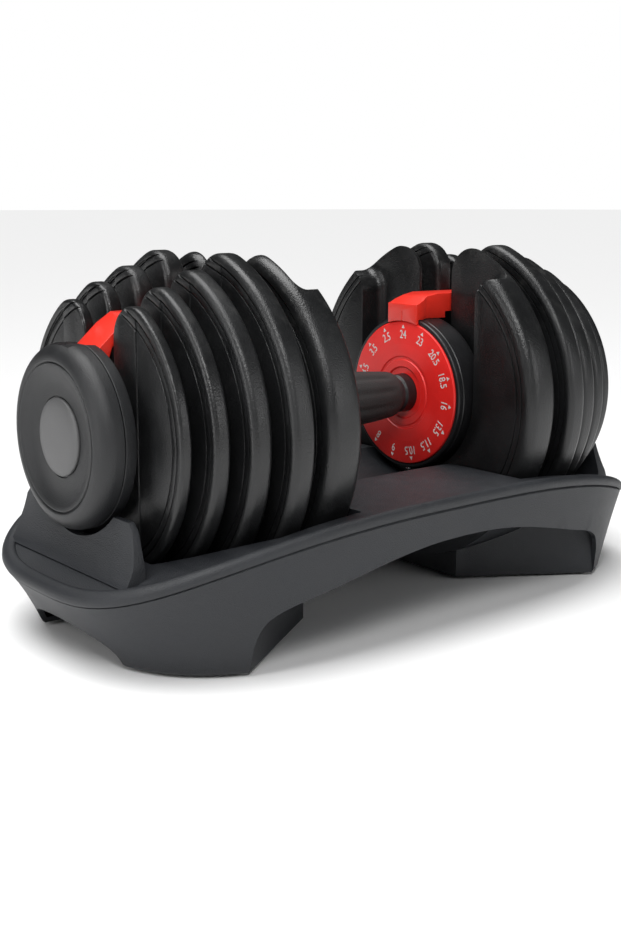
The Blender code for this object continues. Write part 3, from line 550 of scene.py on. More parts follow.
def apply_modifiers(obj):
    graph = bpy.context.evaluated_depsgraph_get()
    mesh = bpy.data.meshes.new_from_object(obj.evaluated_get(graph))
    obj.modifiers.clear()
    obj.data = mesh


def soften(obj, width, segments=3, angle=32):
    """A small bevel on every edge that is sharper than an angle."""
    modifier = obj.modifiers.new("soft edges", "BEVEL")
    modifier.width = width
    modifier.segments = segments
    modifier.limit_method = "ANGLE"
    modifier.angle_limit = math.radians(angle)
    modifier.use_clamp_overlap = True
    apply_modifiers(obj)


def piece(obj, name, slot, body, replaces=(), sharp=38):
    """Names a finished mesh, gives it its material, and sets it to ride on its body."""
    obj.name = name
    obj.data.name = name
    obj.data.materials.clear()
    obj.data.materials.append(finish(slot))
    obj.data.shade_smooth()
    obj.data.set_sharp_from_angle(angle=math.radians(sharp))
    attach(obj, body)
    if replaces:
        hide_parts(*replaces)
    return obj


# ---- Weight plates -------------------------------------------------------------------------------

def plate_outline(radius, top, sizes, inset=0.0):
    """(y, z) points of a plate: a disc with a slot from the axle to its top and two rounded horns."""
    half = sizes.slot_half + inset
    outer = radius - inset
    tip = sizes.horn_round - inset
    tip_y = sizes.slot_half + sizes.horn_round
    tip_z = math.sqrt((radius - sizes.horn_round) ** 2 - tip_y ** 2)
    meet = math.degrees(math.atan2(tip_z, tip_y))
    points = arc((0, 0), half, 0, -180, 24)
    points += arc((-tip_y, tip_z), tip, 0, 180 - meet, 14)
    points += arc((0, 0), outer, 180 - meet, 360 + meet, 150)[1:]
    points += arc((tip_y, tip_z), tip, meet, 180, 14)[1:]
    return [(y, min(z, top)) for y, z in points]


def face_groove(plate, side, face, radius, sizes, outward):
    """Cuts a ring groove into one face of a plate. outward is 1 for the outer face, -1 for the inner."""
    half = sizes.groove_width / 2
    deep, proud = face - outward * sizes.groove_depth, face + outward * 0.002
    ring = [(deep, radius - half * 0.5), (deep, radius + half * 0.5), (proud, radius + half * 1.6),
            (proud, radius - half * 1.6)]
    combine(plate, turned_at(side, ring, 144))


def panel_outline(radius, sizes, mirror):
    """One sunk panel of the outer face, between the slot's band and the rim's band."""
    outer = radius - sizes.rim_band
    reach = math.degrees(math.acos(sizes.band_half / outer))
    outline = arc((0, 0), outer, -reach, reach, 48)
    return [(mirror * y, z) for y, z in outline]


def recess_outline(radius, sizes, raise_by):
    """What the innermost plate leaves free round the housing and over its shoulders."""
    half = radius + sizes.recess_gap - raise_by
    far = 0.3
    bend = sizes.shoulder_round
    corner = half + bend
    top = sizes.shoulder_height + raise_by
    points = [(-far, far), (-far, top)]
    points += arc((-corner, top - bend), bend, 90, 0, 10)
    points += arc((0, 0), half, 180, 360, 48)
    points += arc((corner, top - bend), bend, 180, 90, 10)
    return points + [(far, top), (far, far)]


def make_plate(name, side, number, sizes, rounding):
    node = f"{name}_plate_{number}"
    inner, outer = across(node, 0)
    outer -= sizes.lug_stand
    low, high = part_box(node)
    radius = (high.y - low.y) / 2
    top = high.z - AXLE_Z
    stations = [(inner + rounding * (1 - c), rounding * (1 - s)) for c, s in quarter(6)]
    stations += [(inner + outer - x, inset) for x, inset in reversed(stations)]
    rings = [[(side * x, y, AXLE_Z + z) for y, z in plate_outline(radius, top, sizes, inset)]
             for x, inset in stations]
    plate = working(node, loft(rings))
    sunk = outer - sizes.panel_depth
    for mirror in (-1, 1):
        outline = panel_outline(radius - max(0.0, rounding - sizes.rim_band), sizes, mirror)
        combine(plate, along_x(outline, side * sunk, side * (outer + 0.002)))
    ring_radius = radius - max(sizes.rim_band, rounding) - sizes.groove_width
    for k in range(2):
        face_groove(plate, side, sunk, ring_radius - k * sizes.groove_pitch, sizes, 1)
        face_groove(plate, side, inner, ring_radius - k * sizes.groove_pitch, sizes, -1)
    if number == PLATE_COUNT:
        cut_recess(plate, name, side, inner, outer, sizes)
    lug = arc((0, 0), LUG_RADIUS, -106, -74, 8) + [(LUG_HALF, LUG_TOP), (-LUG_HALF, LUG_TOP)]
    combine(plate, along_x(lug, side * (outer - 0.001), side * (outer + sizes.lug_stand)), "UNION")
    soften(plate, 0.0004, 2)
    piece(plate, f"{name}_weight_{number}_casting", "plate_coat", f"{name}_weight_{number}", (node,))


def cut_recess(plate, name, side, inner, outer, sizes):
    """The innermost plate is cut down to its shoulders, but for a thin tall part behind the housing."""
    housing = across(f"{name}_housing", 1)[1]
    end, fillet = outer - sizes.tall_thick, sizes.step_fillet
    stations = [(inner - 0.01, 0.0), (end - fillet, 0.0)]
    stations += [(end - fillet * (1 - s), fillet * (1 - c)) for c, s in quarter(6)[1:]]
    rings = [[(side * x, y, AXLE_Z + z) for y, z in recess_outline(housing, sizes, up)] for x, up in stations]
    combine(plate, loft(rings))


class DUMBBELL_OT_plates(bpy.types.Operator):
    """Slotted weight plates with rounded rims, ring grooves and sunk panels"""
    bl_idname = "dumbbell.plates"
    bl_label = "Weight plates"

    def execute(self, context):
        sizes = context.scene.dumbbell_plates
        for name, side in SIDES:
            for number, rounding in enumerate(RIM_ROUNDING, 1):
                make_plate(name, side, number, sizes, rounding)
        return {"FINISHED"}


# ---- Knobs ---------------------------------------------------------------------------------------

def flatten_top(obj, side, start, tab_end, radius, sizes):
    """The flat at the top of the knob, which marks its tab."""
    half, floor, above = radius * math.sin(sizes.tab_angle) + 0.0008, radius - FLAT_DEPTH, radius + 0.002
    flat = [(-half, floor), (half, floor), (half + 0.003, above), (-half - 0.003, above)]
    combine(obj, along_x(flat, side * (start - 0.01), side * (tab_end + 0.0050)))


def make_knob_skirt(name, side, sizes):
    node = f"{name}_knob_skirt"
    start, tab_end = across(node, 0)
    joint = tab_end - sizes.tab_depth
    radius = across(node, 2)[1] - AXLE_Z
    inner = radius - sizes.wall
    ring = rounded([(start, inner), (joint, inner), (joint, radius), (start, radius - 0.0006)], 0.0007)
    skirt = working(node, turned_at(side, ring, 128))
    angle = math.degrees(sizes.tab_angle)
    tab = arc((0, 0), radius - 0.0002, 90 - angle, 90 + angle, 16)
    tab += arc((0, 0), inner + 0.0004, 90 + angle, 90 - angle, 16)
    combine(skirt, along_x(tab, side * (joint - 0.004), side * tab_end), "UNION")
    flatten_top(skirt, side, start, tab_end, radius, sizes)
    piece(skirt, f"{name}_knob_rear_ring", "knob_plastic", f"{name}_selector", (node,))


def make_knob_shell(name, side, sizes):
    node = f"{name}_knob_shell"
    face = across(node, 0)[1]
    radius = across(node, 2)[1] - AXLE_Z
    tab_end = across(f"{name}_knob_skirt", 0)[1]
    joint = tab_end - sizes.tab_depth
    rear = joint + GAP
    inner = radius - sizes.wall
    cap = across(f"{name}_knob_cap", 1)[1]
    shoulder = radius - sizes.face_radius
    bend = face - shoulder
    seat, dish_start, groove = face - 0.0045, cap + 0.0006, sizes.face_radius - 0.0014
    shell = [(rear, inner), (bend, inner), (bend + 0.002, sizes.face_radius - 0.002),
             (face - 0.0065, cap - 0.002), (face - 0.0062, SEAT_HOLE), (seat, SEAT_HOLE),
             (seat, cap + 0.0004), (face - sizes.dish_depth, dish_start)]
    for share in (k / 9 for k in range(1, 9)):
        sunk = sizes.dish_depth * math.cos(math.pi / 2 * share ** 1.6)
        shell.append((face - sunk, dish_start + (sizes.dish_radius - cap) * share))
    shell += [(face, sizes.dish_radius + 0.0006), (face, groove - 0.0006), (face - 0.0009, groove),
              (face - 0.0001, groove + 0.0007)]
    shell += [(bend + shoulder * c ** 1.06, sizes.face_radius + shoulder * s ** 1.06) for c, s in quarter(12)]
    shell += [(rear + 0.0004, radius), (rear, radius - 0.0005)]
    body = working(node, turned_at(side, shell, 128))
    half = radius * math.sin(sizes.tab_angle) + 1.5 * GAP
    notch = rectangle(-half, half, inner - 0.01, radius + 0.01)
    combine(body, along_x(notch, side * (joint - 0.001), side * (tab_end + 1.5 * GAP)))
    flatten_top(body, side, joint, tab_end, radius, sizes)
    piece(body, f"{name}_knob_front_shell", "knob_plastic", f"{name}_selector", (node,), 44)


def make_knob_cap(name, side):
    node = f"{name}_knob_cap"
    low, high = across(node, 0)
    radius = across(node, 1)[1]
    rim, edge = low + 0.0008, radius - 0.0003
    dome = [(low, 0.0), (low, radius - 0.0004), (rim - 0.0004, edge)]
    dome += [(rim + (high - rim) * s ** 0.9, edge * c ** 0.8) for c, s in quarter(14)[:-1]]
    dome.append((high, 0.0))
    cap = working(node, turned_at(side, dome, 96))
    piece(cap, f"{name}_knob_centre_cap", "cap_plastic", f"{name}_selector", (node,))


class DUMBBELL_OT_knobs(bpy.types.Operator):
    """Two-part knobs with a notched parting line, dished face and domed cap"""
    bl_idname = "dumbbell.knobs"
    bl_label = "Knobs"

    def execute(self, context):
        sizes = context.scene.dumbbell_knobs
        for name, side in SIDES:
            make_knob_skirt(name, side, sizes)
            make_knob_shell(name, side, sizes)
            make_knob_cap(name, side)
        return {"FINISHED"}


# ---- Dials ---------------------------------------------------------------------------------------

def make_dial_disc(name, side):
    node = f"{name}_dial"
    face, back = across(node, 0)
    radius = across(node, 1)[1]
    sunk, centre = face + 0.0006, face + 0.0009
    profile = [(back, DIAL_BORE), (back, radius), (sunk, radius), (face + 0.0002, radius - 0.0003),
               (face, radius - 0.0008), (face, 0.0245), (sunk, 0.0240), (sunk, 0.0222), (face, 0.0217),
               (face, 0.0175), (centre, 0.0165), (centre, DIAL_BORE)]
    disc = working(node, turned_at(side, profile, 160))
    piece(disc, f"{name}_dial_disc", "dial_plastic", f"{name}_selector", (node,))


def dial_place(side, radius, turn, x):
    """Matrix of a mark on a dial's face: its top points to the rim, and it reads from the grip."""
    outward = Vector((0.0, side * -math.sin(turn), math.cos(turn)))
    normal = Vector((-side, 0.0, 0.0))
    right = outward.cross(normal)
    centre = Vector((side * x, 0.0, AXLE_Z)) + radius * outward
    return Matrix.Translation(centre) @ Matrix((right, outward, normal)).transposed().to_4x4()


def make_figures(name, side, sizes):
    """The printed figures of one dial, as one thin mesh."""
    face = across(f"{name}_dial", 0)[0]
    narrow = Matrix.Diagonal((0.80, 1.0, 1.0, 1.0))
    made = bmesh.new()
    for k, label in enumerate(DIAL_MARKS):
        curve = bpy.data.curves.new("figure", "FONT")
        curve.body = label
        curve.align_x = "CENTER"
        curve.size = sizes.figure_height / CAPITAL_HEIGHT
        curve.extrude = sizes.print_thick / 2
        curve.offset = 0.00006
        curve.resolution_u = 4
        holder = link("figure", curve)
        graph = bpy.context.evaluated_depsgraph_get()
        mesh = bpy.data.meshes.new_from_object(holder.evaluated_get(graph))
        turn = 2 * math.pi * k / sizes.steps
        mesh.transform(dial_place(side, sizes.figure_radius, turn, face) @ narrow)
        made.from_mesh(mesh)
        bpy.data.objects.remove(holder, do_unlink=True)
    bmesh.ops.remove_doubles(made, verts=made.verts, dist=1e-7)
    figures = working(f"{name}_figures", made)
    piece(figures, f"{name}_dial_figures", "mark_white", f"{name}_selector")


def arrow_tree():
    """Geometry Nodes: a ring of small flat arrows that point away from the middle."""
    tree = bpy.data.node_groups.new("Ring of arrows", "GeometryNodeTree")
    for label, kind in (("Geometry", "Geometry"), ("Count", "Int"), ("Radius", "Float"), ("Size", "Float"),
                        ("Thickness", "Float"), ("Material", "Material")):
        tree.interface.new_socket(name=label, in_out="INPUT", socket_type=f"NodeSocket{kind}")
    tree.interface.new_socket(name="Geometry", in_out="OUTPUT", socket_type="NodeSocketGeometry")
    start = tree.nodes.new("NodeGroupInput").outputs
    ring = add(tree, "GeometryNodeMeshCircle", {"Vertices": start["Count"], "Radius": start["Radius"]})
    arrow = add(tree, "GeometryNodeMeshCylinder",
                {"Vertices": 3, "Radius": start["Size"], "Depth": start["Thickness"]})
    index = tree.nodes.new("GeometryNodeInputIndex").outputs[0]
    turn = calc(tree, "MULTIPLY", index, calc(tree, "DIVIDE", 2 * math.pi, start["Count"]))
    rotation = add(tree, "ShaderNodeCombineXYZ", {"Z": turn}).outputs[0]
    place = add(tree, "GeometryNodeInstanceOnPoints",
                {"Points": ring.outputs["Mesh"], "Instance": arrow.outputs["Mesh"], "Rotation": rotation})
    real = add(tree, "GeometryNodeRealizeInstances", {"Geometry": place.outputs["Instances"]})
    paint = add(tree, "GeometryNodeSetMaterial",
                {"Geometry": real.outputs["Geometry"], "Material": start["Material"]})
    add(tree, "NodeGroupOutput", {"Geometry": paint.outputs["Geometry"]})


def from_tree(name, tree, values):
    """The plain mesh that a Geometry Nodes tree makes from named values."""
    holder = link(name, bpy.data.meshes.new(name))
    modifier = holder.modifiers.new("nodes", "NODES")
    modifier.node_group = tree
    for item in tree.interface.items_tree:
        if item.in_out == "INPUT" and item.name in values:
            modifier[item.identifier] = values[item.name]
    apply_modifiers(holder)
    return holder


def make_arrows(name, side, sizes):
    face = across(f"{name}_dial", 0)[0]
    values = {"Count": sizes.steps, "Radius": sizes.arrow_radius, "Size": sizes.arrow_size,
              "Thickness": sizes.print_thick, "Material": finish("mark_white")}
    arrows = from_tree("arrows", bpy.data.node_groups["Ring of arrows"], values)
    upright = dial_place(side, 0.0, 0.0, face)
    quarter = Matrix.Rotation(math.pi / 2, 4, "Z")
    arrows.data.transform(upright @ quarter)
    piece(arrows, f"{name}_dial_arrows", "mark_white", f"{name}_selector")


class DUMBBELL_OT_dials(bpy.types.Operator):
    """Red dials with raised rings, figures and arrows"""
    bl_idname = "dumbbell.dials"
    bl_label = "Dials"

    def execute(self, context):
        sizes = context.scene.dumbbell_dials
        arrow_tree()
        for name, side in SIDES:
            make_dial_disc(name, side)
            make_figures(name, side, sizes)
            make_arrows(name, side, sizes)
        return {"FINISHED"}


# ---- Handle --------------------------------------------------------------------------------------

def make_grip(sizes):
    """A swelling rubber grip with shallow flutes between two round ends."""
    half = across("grip_sleeve", 0)[1]
    stations, around = 90, turns(120)
    made = bmesh.new()
    loops = []
    for i in range(stations + 1):
        share = 2 * i / stations - 1
        end = max(0.0, (abs(share) - 0.93) / 0.07)
        base = sizes.grip_end + sizes.grip_swell * (1 - share ** 2) - 0.0022 * end ** 2.5
        flute = sizes.flute_depth * (1 - min(1.0, max(0.0, (abs(share) - 0.70) / 0.16)))
        radii = [base - flute * (0.5 + 0.5 * math.cos(sizes.flutes * turn)) ** 3 for turn in around]
        loops.append([made.verts.new(round_axle(share * half, *place)) for place in zip(radii, around)])
    for x in (half, -half):
        loops.append([made.verts.new(round_axle(x, GRIP_BORE, turn)) for turn in around])
    loops.append(loops[0])
    skin(made, loops)
    piece(working("grip", made), "grip_rubber_sleeve", "grip_rubber", "handle", ("grip_sleeve",))


def make_collar(name, side):
    """A collar with a narrower neck towards the grip."""
    node = f"{name}_collar"
    start, end = across(node, 0)
    radius = across(node, 1)[1]
    profile = [(start, GRIP_BORE), (end, GRIP_BORE), (end, radius), (start + 0.0045, radius),
               (start + 0.0035, radius - 0.0012), (start, radius - 0.0014)]
    collar = working(node, turned_at(side, rounded(profile, 0.0006), 96))
    piece(collar, f"{name}_grip_collar", "housing_plastic", "handle", (node,))


def make_housing(name, side):
    """The black cup behind a dial, with a rounded back and a bead round its mouth."""
    node = f"{name}_housing"
    front, back = across(node, 0)
    radius = across(node, 2)[1] - AXLE_Z
    inner = across(f"{name}_dial", 1)[1] + 2 * GAP
    floor, bend, lip = back - 0.003, 0.006, 0.0013
    profile = [(front, inner), (floor, inner), (floor, HOUSING_BORE), (back, HOUSING_BORE)]
    profile += [(back - bend + bend * c, radius - bend + bend * s) for c, s in quarter(8)]
    profile += [(front + 0.0052, radius), (front + 0.0047, radius - 0.0004), (front + 0.0042, radius)]
    profile += [(front + lip - lip * s, radius - lip + lip * c) for c, s in quarter(6)]
    housing = working(node, turned_at(side, profile, 144))
    pin = sum(across(f"{name}_lock_pin", 0)) / 2
    hole = [(side * pin + x, y) for x, y in arc((0, 0), PIN_HOLE, 0, 330, 11)]
    combine(housing, along_z(hole, 0.0, AXLE_Z - 0.03))
    piece(housing, f"{name}_dial_housing", "housing_plastic", "handle", (node,))


def make_bridge(name, side, sizes):
    """The red beam: a pointer with a scored face, an arch over the housing and a sloping toe."""
    node = f"{name}_bridge"
    front, toe = across(node, 0)
    housing = across(f"{name}_housing", 2)[1] - AXLE_Z
    back = across(f"{name}_housing", 0)[1] + GAP
    dial = across(f"{name}_dial", 1)[1]
    low, mouth = dial - 0.002, front + 0.0021
    over, under = sizes.bridge_top, sizes.bridge_under
    side_view = [(front, low), (front, sizes.pointer_top), (front + 0.0018, sizes.pointer_top + 0.0004),
                 (front + 0.0115, over - 0.0016), (front + 0.021, over), (toe - 0.022, over - 0.0008),
                 (toe - 0.013, over - 0.0065), (toe, sizes.bridge_toe), (toe, TOE_LOW),
                 (toe - 0.003, TOE_LOW), (toe - 0.008, sizes.bridge_toe), (toe - 0.015, under),
                 (back, under), (back, low)]
    outline = [(side * x, AXLE_Z + z) for x, z in side_view]
    bridge = working(node, along_y(outline, -sizes.pointer_half, sizes.pointer_half))
    waist = [(front + 0.0110, sizes.bridge_half - 0.0012), (front + 0.0040, sizes.pointer_half + 0.001),
             (toe + 0.01, 0.02), (toe + 0.01, sizes.bridge_half), (front + 0.030, sizes.bridge_half)]
    for mirror in (-1, 1):
        combine(bridge, along_z([(side * x, mirror * y) for x, y in waist], AXLE_Z, AXLE_Z + 0.08))
    room = [(front - 0.003, 0.0), (front - 0.003, dial + GAP), (mouth, dial + GAP), (mouth, housing + GAP),
            (back + GAP, housing + GAP), (back + GAP, 0.0)]
    combine(bridge, turned_at(side, room, 144))
    score = rectangle(side * (front - 0.001), side * (front + SCORE_DEPTH), -SCORE_HALF, SCORE_HALF)
    combine(bridge, along_z(score, AXLE_Z + dial - 0.001, AXLE_Z + sizes.pointer_top - 0.0045))
    screw = across(f"{name}_bridge_screw", 0)[0]
    screw_z = middle_z(f"{name}_bridge_screw") - AXLE_Z
    shank = [(y, z + screw_z) for y, z in arc((0, 0), SCREW_HOLE, 0, 330, 11)]
    combine(bridge, along_x(shank, side * (screw - GAP), side * (toe + 0.001)))
    soften(bridge, 0.0006, 3, 28)
    piece(bridge, f"{name}_red_bridge", "bridge_plastic", "handle", (node,), 30)


class DUMBBELL_OT_handle(bpy.types.Operator):
    """Grip, collars, dial housings and red bridges"""
    bl_idname = "dumbbell.handle"
    bl_label = "Handle"

    def execute(self, context):
        sizes = context.scene.dumbbell_handle
        make_grip(sizes)
        for name, side in SIDES:
            make_collar(name, side)
            make_housing(name, side)
            make_bridge(name, side, sizes)
        return {"FINISHED"}


# ---- Tray ----------------------------------------------------------------------------------------

class Tray:
    """The tray's derived shapes: its plan, its dipping edge and its wells."""

    def __init__(self, sizes):
        self.sizes = sizes
        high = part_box("base_tray")[1]
        self.half = (high.x, high.y)
        self.skirt_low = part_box("base_shell")[0].z

    def edge(self, x):
        """Height of the parting line."""
        sizes = self.sizes
        share = min(1.0, abs(x) / self.half[0])
        return sizes.edge_middle - (sizes.edge_middle - sizes.edge_end) * share ** sizes.edge_power

    def over_edge(self, rise):
        return lambda x: self.edge(x) + rise

    def plan(self, inset_x, inset_y):
        """A superellipse, drawn in from the tray's outline."""
        a, b = self.half[0] - inset_x, self.half[1] - inset_y
        power = 2 / self.sizes.power
        points = []
        for turn in turns(176):
            c, s = math.cos(turn), math.sin(turn)
            points.append((a * math.copysign(abs(c) ** power, c), b * math.copysign(abs(s) ** power, s)))
        return points

    def hull(self, levels):
        """A solid through the plan at given insets and heights, capped by strips across y."""
        made = bmesh.new()
        loops = []
        for inset, height in levels:
            insets = inset if isinstance(inset, tuple) else (inset, inset)
            loops.append([made.verts.new((x, y, height(x))) for x, y in self.plan(*insets)])
        skin(made, loops)
        count = len(loops[0])
        for ends in (loops[0], loops[-1]):
            for i in range(count // 2):
                strip = (i, i + 1, count - i - 1, (count - i) % count)
                made.faces.new(list(dict.fromkeys(ends[k] for k in strip)))
        return made

    def skirt_level(self, share, wall=0.0):
        """Insets and height of the skirt, from its foot at 0 to its rim at 1."""
        feet = (self.sizes.foot_inset_x, self.sizes.foot_inset_y)
        insets = tuple(wall + foot - (foot - RIM_INSET) * share for foot in feet)
        floor = self.skirt_low
        return insets, lambda x: floor + (self.edge(x) - GAP - floor) * share

    def wells(self, grow):
        """(x, radius) of the trough and the stepped wells, grown by a wall."""
        sizes = self.sizes
        spans = []
        for number in range(1, PLATE_COUNT + 1):
            inner, outer = across(f"right_plate_{number}", 0)
            spans.append((inner, outer - LUG_STAND, across(f"right_plate_{number}", 1)[1]))
        room = sizes.well_gap + grow
        x = spans[-1][0] - room
        half = [(x, sizes.trough + grow), (x, max(radius for _, _, radius in spans) + room)]
        half += [(outer + room, radius + room) for _, outer, radius in reversed(spans[:-1])]
        half.append((spans[0][1] + room, 0.0))
        return [(-a, r) for a, r in reversed(half)] + half

    def leg_wall(self):
        """In plan, the corner of a leg's inner wall, its run to the skirt, and its end past the tray."""
        (cx, cy), (fx, fy) = self.sizes.leg_corner, self.sizes.leg_front
        far_y = self.half[1] + BEYOND
        return (cx, cy), (fx - cx, fy - cy), (cx + (far_y - cy) * (fx - cx) / (fy - cy), far_y)

    def leg(self, inset):
        """Plan of the hollow of the right-hand leg."""
        (cx, cy), (run_x, run_y), (reach, far_y) = self.leg_wall()
        slope = math.hypot(run_x, run_y)
        shift = inset * slope / run_y
        bend = cy - inset * (slope - run_y) / run_x
        half = [(cx + inset, bend), (reach + shift, far_y), (self.half[0] + BEYOND, far_y)]
        return half + [(x, -y) for x, y in reversed(half)]

    def tunnel(self):
        """Plan of the space between the legs."""
        corner, _, end = self.leg_wall()
        right = [(x, -y) for x, y in (end, corner)] + [corner, end]
        return right + [(-x, y) for x, y in reversed(right)]


def smooth_line(points, steps=5):
    """A Catmull-Rom line through points, which keeps its two ends."""
    ends = [points[0], *points, points[-1]]
    line = []
    for a, b, c, d in zip(ends, ends[1:], ends[2:], ends[3:]):
        a, b, c, d = (Vector(p) for p in (a, b, c, d))
        for k in range(steps):
            t = k / steps
            line.append(tuple(0.5 * (2 * b + (c - a) * t + (2 * a - 5 * b + 4 * c - d) * t * t
                                     + (3 * b - a - 3 * c + d) * t ** 3)))
    return line + [tuple(points[-1])]


def kept_to(tray, levels, outline, low):
    """A room in the hull's shape, kept to the part of the plan inside an outline."""
    room = working("room", tray.hull(levels))
    combine(room, along_z(outline, low, ABOVE_TRAY), "INTERSECT")
    return room


def make_skirt(tray, sizes):
    """The lower moulding: a leaning skirt on two hollow legs, with an arch in each side."""
    levels = [tray.skirt_level(share) for share in (0.0, 0.03, 0.25, 0.5, 0.75, 0.985, 1.0)]
    for end, chamfer in ((0, 0.001), (-1, 0.0008)):
        (inset_x, inset_y), height = levels[end]
        levels[end] = ((inset_x + chamfer, inset_y + chamfer), height)
    skirt = working("skirt", tray.hull(levels))
    inside = [tray.skirt_level(share, sizes.wall) for share in (-0.3, 0.0, 0.25, 0.5, 0.75, 1.0, 1.5)]
    leg = tray.leg(sizes.wall)
    floor = tray.skirt_low + LEG_FLOOR
    combine(skirt, kept_to(tray, inside, leg, floor))
    combine(skirt, kept_to(tray, inside, [(-x, y) for x, y in leg], floor))
    half = smooth_line(SIDE_ARCH)
    arch = half + [(-x, z) for x, z in reversed(half[:-1])]
    tunnel = working("tunnel", tray.hull(inside))
    combine(tunnel, along_y(arch, -0.15, 0.15), "UNION")
    combine(tunnel, along_z(tray.tunnel(), -0.009, ABOVE_TRAY), "INTERSECT")
    combine(skirt, tunnel)
    under = -0.01 - AXLE_Z
    end_arch = [(-END_ARCH_HALF, under), (END_ARCH_HALF, under)]
    for i in range(33):
        turn = math.pi * i / 32
        rise = tray.skirt_low + (END_ARCH_HEIGHT - tray.skirt_low) * max(0.0, math.sin(turn)) ** 0.7
        end_arch.append((END_ARCH_HALF * math.cos(turn), rise - AXLE_Z))
    for _, side in SIDES:
        combine(skirt, along_x(end_arch, side * 0.15, side * 0.24))
    combine(skirt, turned(tray.wells(sizes.wall + GAP), 96))
    soften(skirt, 0.0009, 3, 40)
    piece(skirt, "tray_skirt", "base_plastic", "tray", ("base_shell",), 34)


def lip_levels(tray, sizes):
    """Insets and heights of the upper moulding: its outer edge, the rolled lip and the deck inside it."""
    levels = [(0.0016, tray.over_edge(0.0)), (0.0008, tray.over_edge(0.0003))]
    steps, start = 12, sizes.lip_height * 0.36
    for k in range(steps + 1):
        turn = math.pi * k / steps
        rise = start + sizes.lip_height * 0.64 * math.sin(turn) ** 0.75 if 0 < k < steps else start
        levels.append((LIP_WIDTH / 2 * (1 - math.cos(turn)),
                       tray.over_edge(max(rise, sizes.deck_height if k > 9 else 0.0))))
    return levels + [(LIP_WIDTH + 0.0012, tray.over_edge(sizes.deck_height))]


def make_saddle(tray, side, sizes):
    """The raised cradle for one knob, with a hollow slope down to the tray's end."""
    start, end = SADDLE_X
    peak_y, peak = sizes.saddle_peak_y, sizes.saddle_peak_z
    low, high = tray.edge(start) - AXLE_Z, peak - AXLE_Z
    half = [(0.064, low), (0.064, low + 0.010), (peak_y + 0.008, high - 0.004), (peak_y + 0.004, high),
            (peak_y - 0.004, high)]
    face = half + [(-y, z) for y, z in reversed(half)]
    end_low = tray.edge(end + 0.008) + sizes.deck_height
    crest, foot = start + 0.0035, end_low - 0.001
    run, rise = end + 0.0095 - crest, peak + 0.003 - end_low
    slope = [(crest + run * (1 - c), foot + rise * (1 - s)) for c, s in quarter(14)]
    slope += [(end + 0.03, foot), (end + 0.03, peak + 0.02), (crest, peak + 0.02)]
    block = working("saddle", along_x(face, side * start, side * (end + 0.010)))
    combine(block, along_y([(side * x, z) for x, z in slope], -0.1, 0.1))
    return block


def make_top(tray, sizes):
    """The upper moulding: a rolled lip round a deck, wells for the plates and saddles for the knobs."""
    top = working("top", tray.hull(lip_levels(tray, sizes)))
    tub = working("tub", turned(tray.wells(sizes.wall), 96))
    region = tray.hull(((0.009, lambda x: 0.0), (0.009, tray.over_edge(sizes.deck_height - 0.001))))
    combine(tub, region, "INTERSECT")
    combine(top, tub, "UNION")
    for _, side in SIDES:
        combine(top, make_saddle(tray, side, sizes), "UNION")
    combine(top, turned(tray.wells(0.0), 160))
    room = across("right_knob_shell", 1)[1] + sizes.cradle_gap
    cradle = [(0.16, 0.0), (0.16, room), (0.26, room), (0.26, 0.0)]
    for _, side in SIDES:
        combine(top, turned_at(side, cradle, 160))
    soften(top, 0.0008, 3, 40)
    piece(top, "tray_top", "base_plastic", "tray", ("base_tray",), 34)


class DUMBBELL_OT_tray(bpy.types.Operator):
    """The tray's two mouldings"""
    bl_idname = "dumbbell.tray"
    bl_label = "Tray"

    def execute(self, context):
        sizes = context.scene.dumbbell_tray
        tray = Tray(sizes)
        make_skirt(tray, sizes)
        make_top(tray, sizes)
        return {"FINISHED"}


# ---- Stage ---------------------------------------------------------------------------------------

def light_world(tree, strength):
    """White surroundings to look at, which give a softer light than they show."""
    sky = tree.nodes["Background"]
    sky.inputs["Color"].default_value = WHITE
    sky.inputs["Strength"].default_value = strength
    seen = add(tree, "ShaderNodeBackground", {"Color": WHITE, "Strength": 1.0})
    path = tree.nodes.new("ShaderNodeLightPath").outputs
    mix = add(tree, "ShaderNodeMixShader", {0: path["Is Camera Ray"], 1: sky.outputs[0], 2: seen.outputs[0]})
    feed(tree, tree.nodes["World Output"].inputs["Surface"], mix.outputs[0])


def facing(direction):
    """The turn that points a light or a camera along a direction."""
    return Vector(direction).to_track_quat("-Z", "Y").to_euler()


def area_light(name, place, aim, size, power):
    light = bpy.data.lights.new(name, "AREA")
    light.shape = "RECTANGLE"
    light.size, light.size_y = size
    light.energy = power
    obj = link(name, light)
    obj.location = place
    obj.rotation_euler = facing(Vector(aim) - Vector(place))


def make_floor(tone):
    plain = bpy.data.materials.new("floor finish")
    plain.use_nodes = True
    shader = plain.node_tree.nodes["Principled BSDF"].inputs
    shader["Base Color"].default_value = (*tone, 1.0)
    shader["Roughness"].default_value = 0.6
    shader["Specular IOR Level"].default_value = 0.2
    half = FLOOR_HALF
    floor = working("floor", along_z(rectangle(-half, half, -half, half), -0.02, -0.0001))
    floor.data.materials.append(plain)


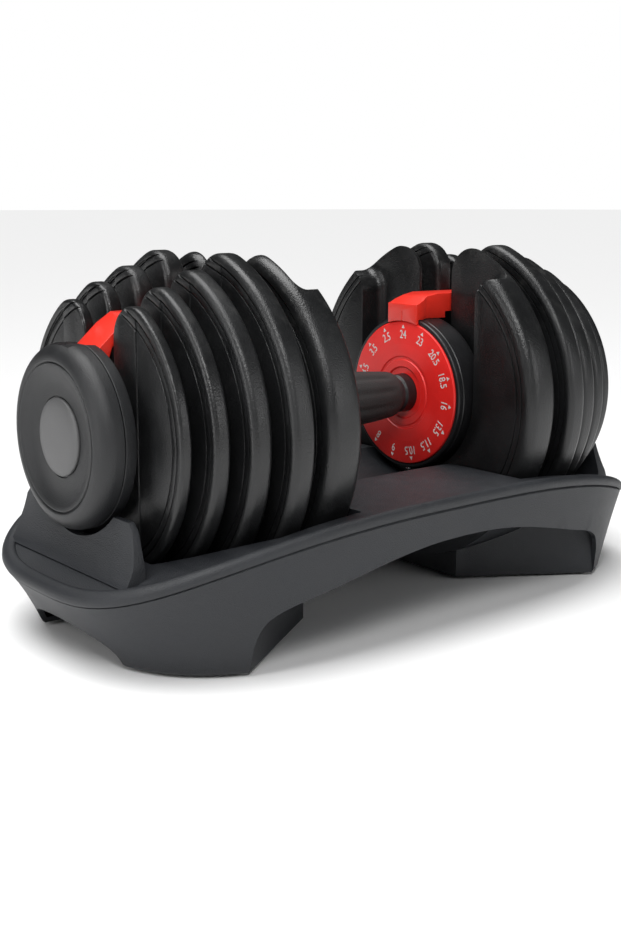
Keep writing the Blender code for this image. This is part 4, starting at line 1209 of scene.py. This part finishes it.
class DUMBBELL_OT_stage(bpy.types.Operator):
    """Pale floor, soft lights and the camera"""
    bl_idname = "dumbbell.stage"
    bl_label = "Stage"

    def execute(self, context):
        settings = context.scene.dumbbell_stage
        make_floor(settings.floor)
        world = context.scene.world or bpy.data.worlds.new("studio")
        context.scene.world = world
        world.use_nodes = True
        light_world(world.node_tree, settings.world)
        overhead = bpy.data.lights.new("overhead", "SUN")
        overhead.energy = settings.overhead
        overhead.angle = math.radians(50)
        link("overhead", overhead).rotation_euler = facing((0.10, -0.16, -1.0))
        power = settings.key
        area_light("key", (-0.75, -0.95, 1.15), (-0.05, 0.0, 0.10), (0.6, 0.6), power)
        area_light("left", (-1.25, 0.05, 0.50), (-0.1, 0.0, 0.12), (0.30, 0.8), power * 0.42)
        area_light("front", (0.55, -1.25, 0.50), (0.05, 0.0, 0.08), (0.9, 0.30), power * 0.30)
        lens = bpy.data.cameras.new("camera")
        lens.lens = settings.lens
        lens.shift_y = settings.shift
        lens.clip_start = 0.01
        camera = link("camera", lens)
        camera.location = settings.eye
        turn, slope = settings.heading, settings.pitch
        level = math.cos(slope)
        camera.rotation_euler = facing((level * math.sin(turn), level * math.cos(turn), math.sin(slope)))
        context.scene.camera = camera
        context.scene.view_settings.view_transform = "Standard"
        return {"FINISHED"}


# ---- Panel and registration ----------------------------------------------------------------------

PARTS = (DUMBBELL_OT_finishes, DUMBBELL_OT_plates, DUMBBELL_OT_knobs, DUMBBELL_OT_dials, DUMBBELL_OT_handle,
         DUMBBELL_OT_tray, DUMBBELL_OT_stage)
SETTINGS = {"dumbbell_plates": PlateSizes, "dumbbell_knobs": KnobSizes, "dumbbell_dials": DialSizes,
            "dumbbell_handle": HandleSizes, "dumbbell_tray": TraySizes, "dumbbell_finishes": FinishColours,
            "dumbbell_stage": StageSettings}


class DUMBBELL_PT_panel(bpy.types.Panel):
    """Lists the pieces and the stage"""
    bl_idname = "DUMBBELL_PT_panel"
    bl_label = "Dumbbell"
    bl_space_type = "VIEW_3D"
    bl_region_type = "UI"
    bl_category = "Dumbbell"

    def draw(self, context):
        for part in PARTS:
            self.layout.operator(part.bl_idname)


def register():
    for name, group in SETTINGS.items():
        bpy.utils.register_class(group)
        setattr(bpy.types.Scene, name, PointerProperty(type=group))
    for made in (*PARTS, DUMBBELL_PT_panel):
        bpy.utils.register_class(made)


def unregister():
    for made in reversed((*PARTS, DUMBBELL_PT_panel)):
        bpy.utils.unregister_class(made)
    for name, group in SETTINGS.items():
        delattr(bpy.types.Scene, name)
        bpy.utils.unregister_class(group)


def main():
    register()
    for part in PARTS:
        group, action = part.bl_idname.split(".")
        getattr(getattr(bpy.ops, group), action)()


if __name__ == "__main__":
    main()
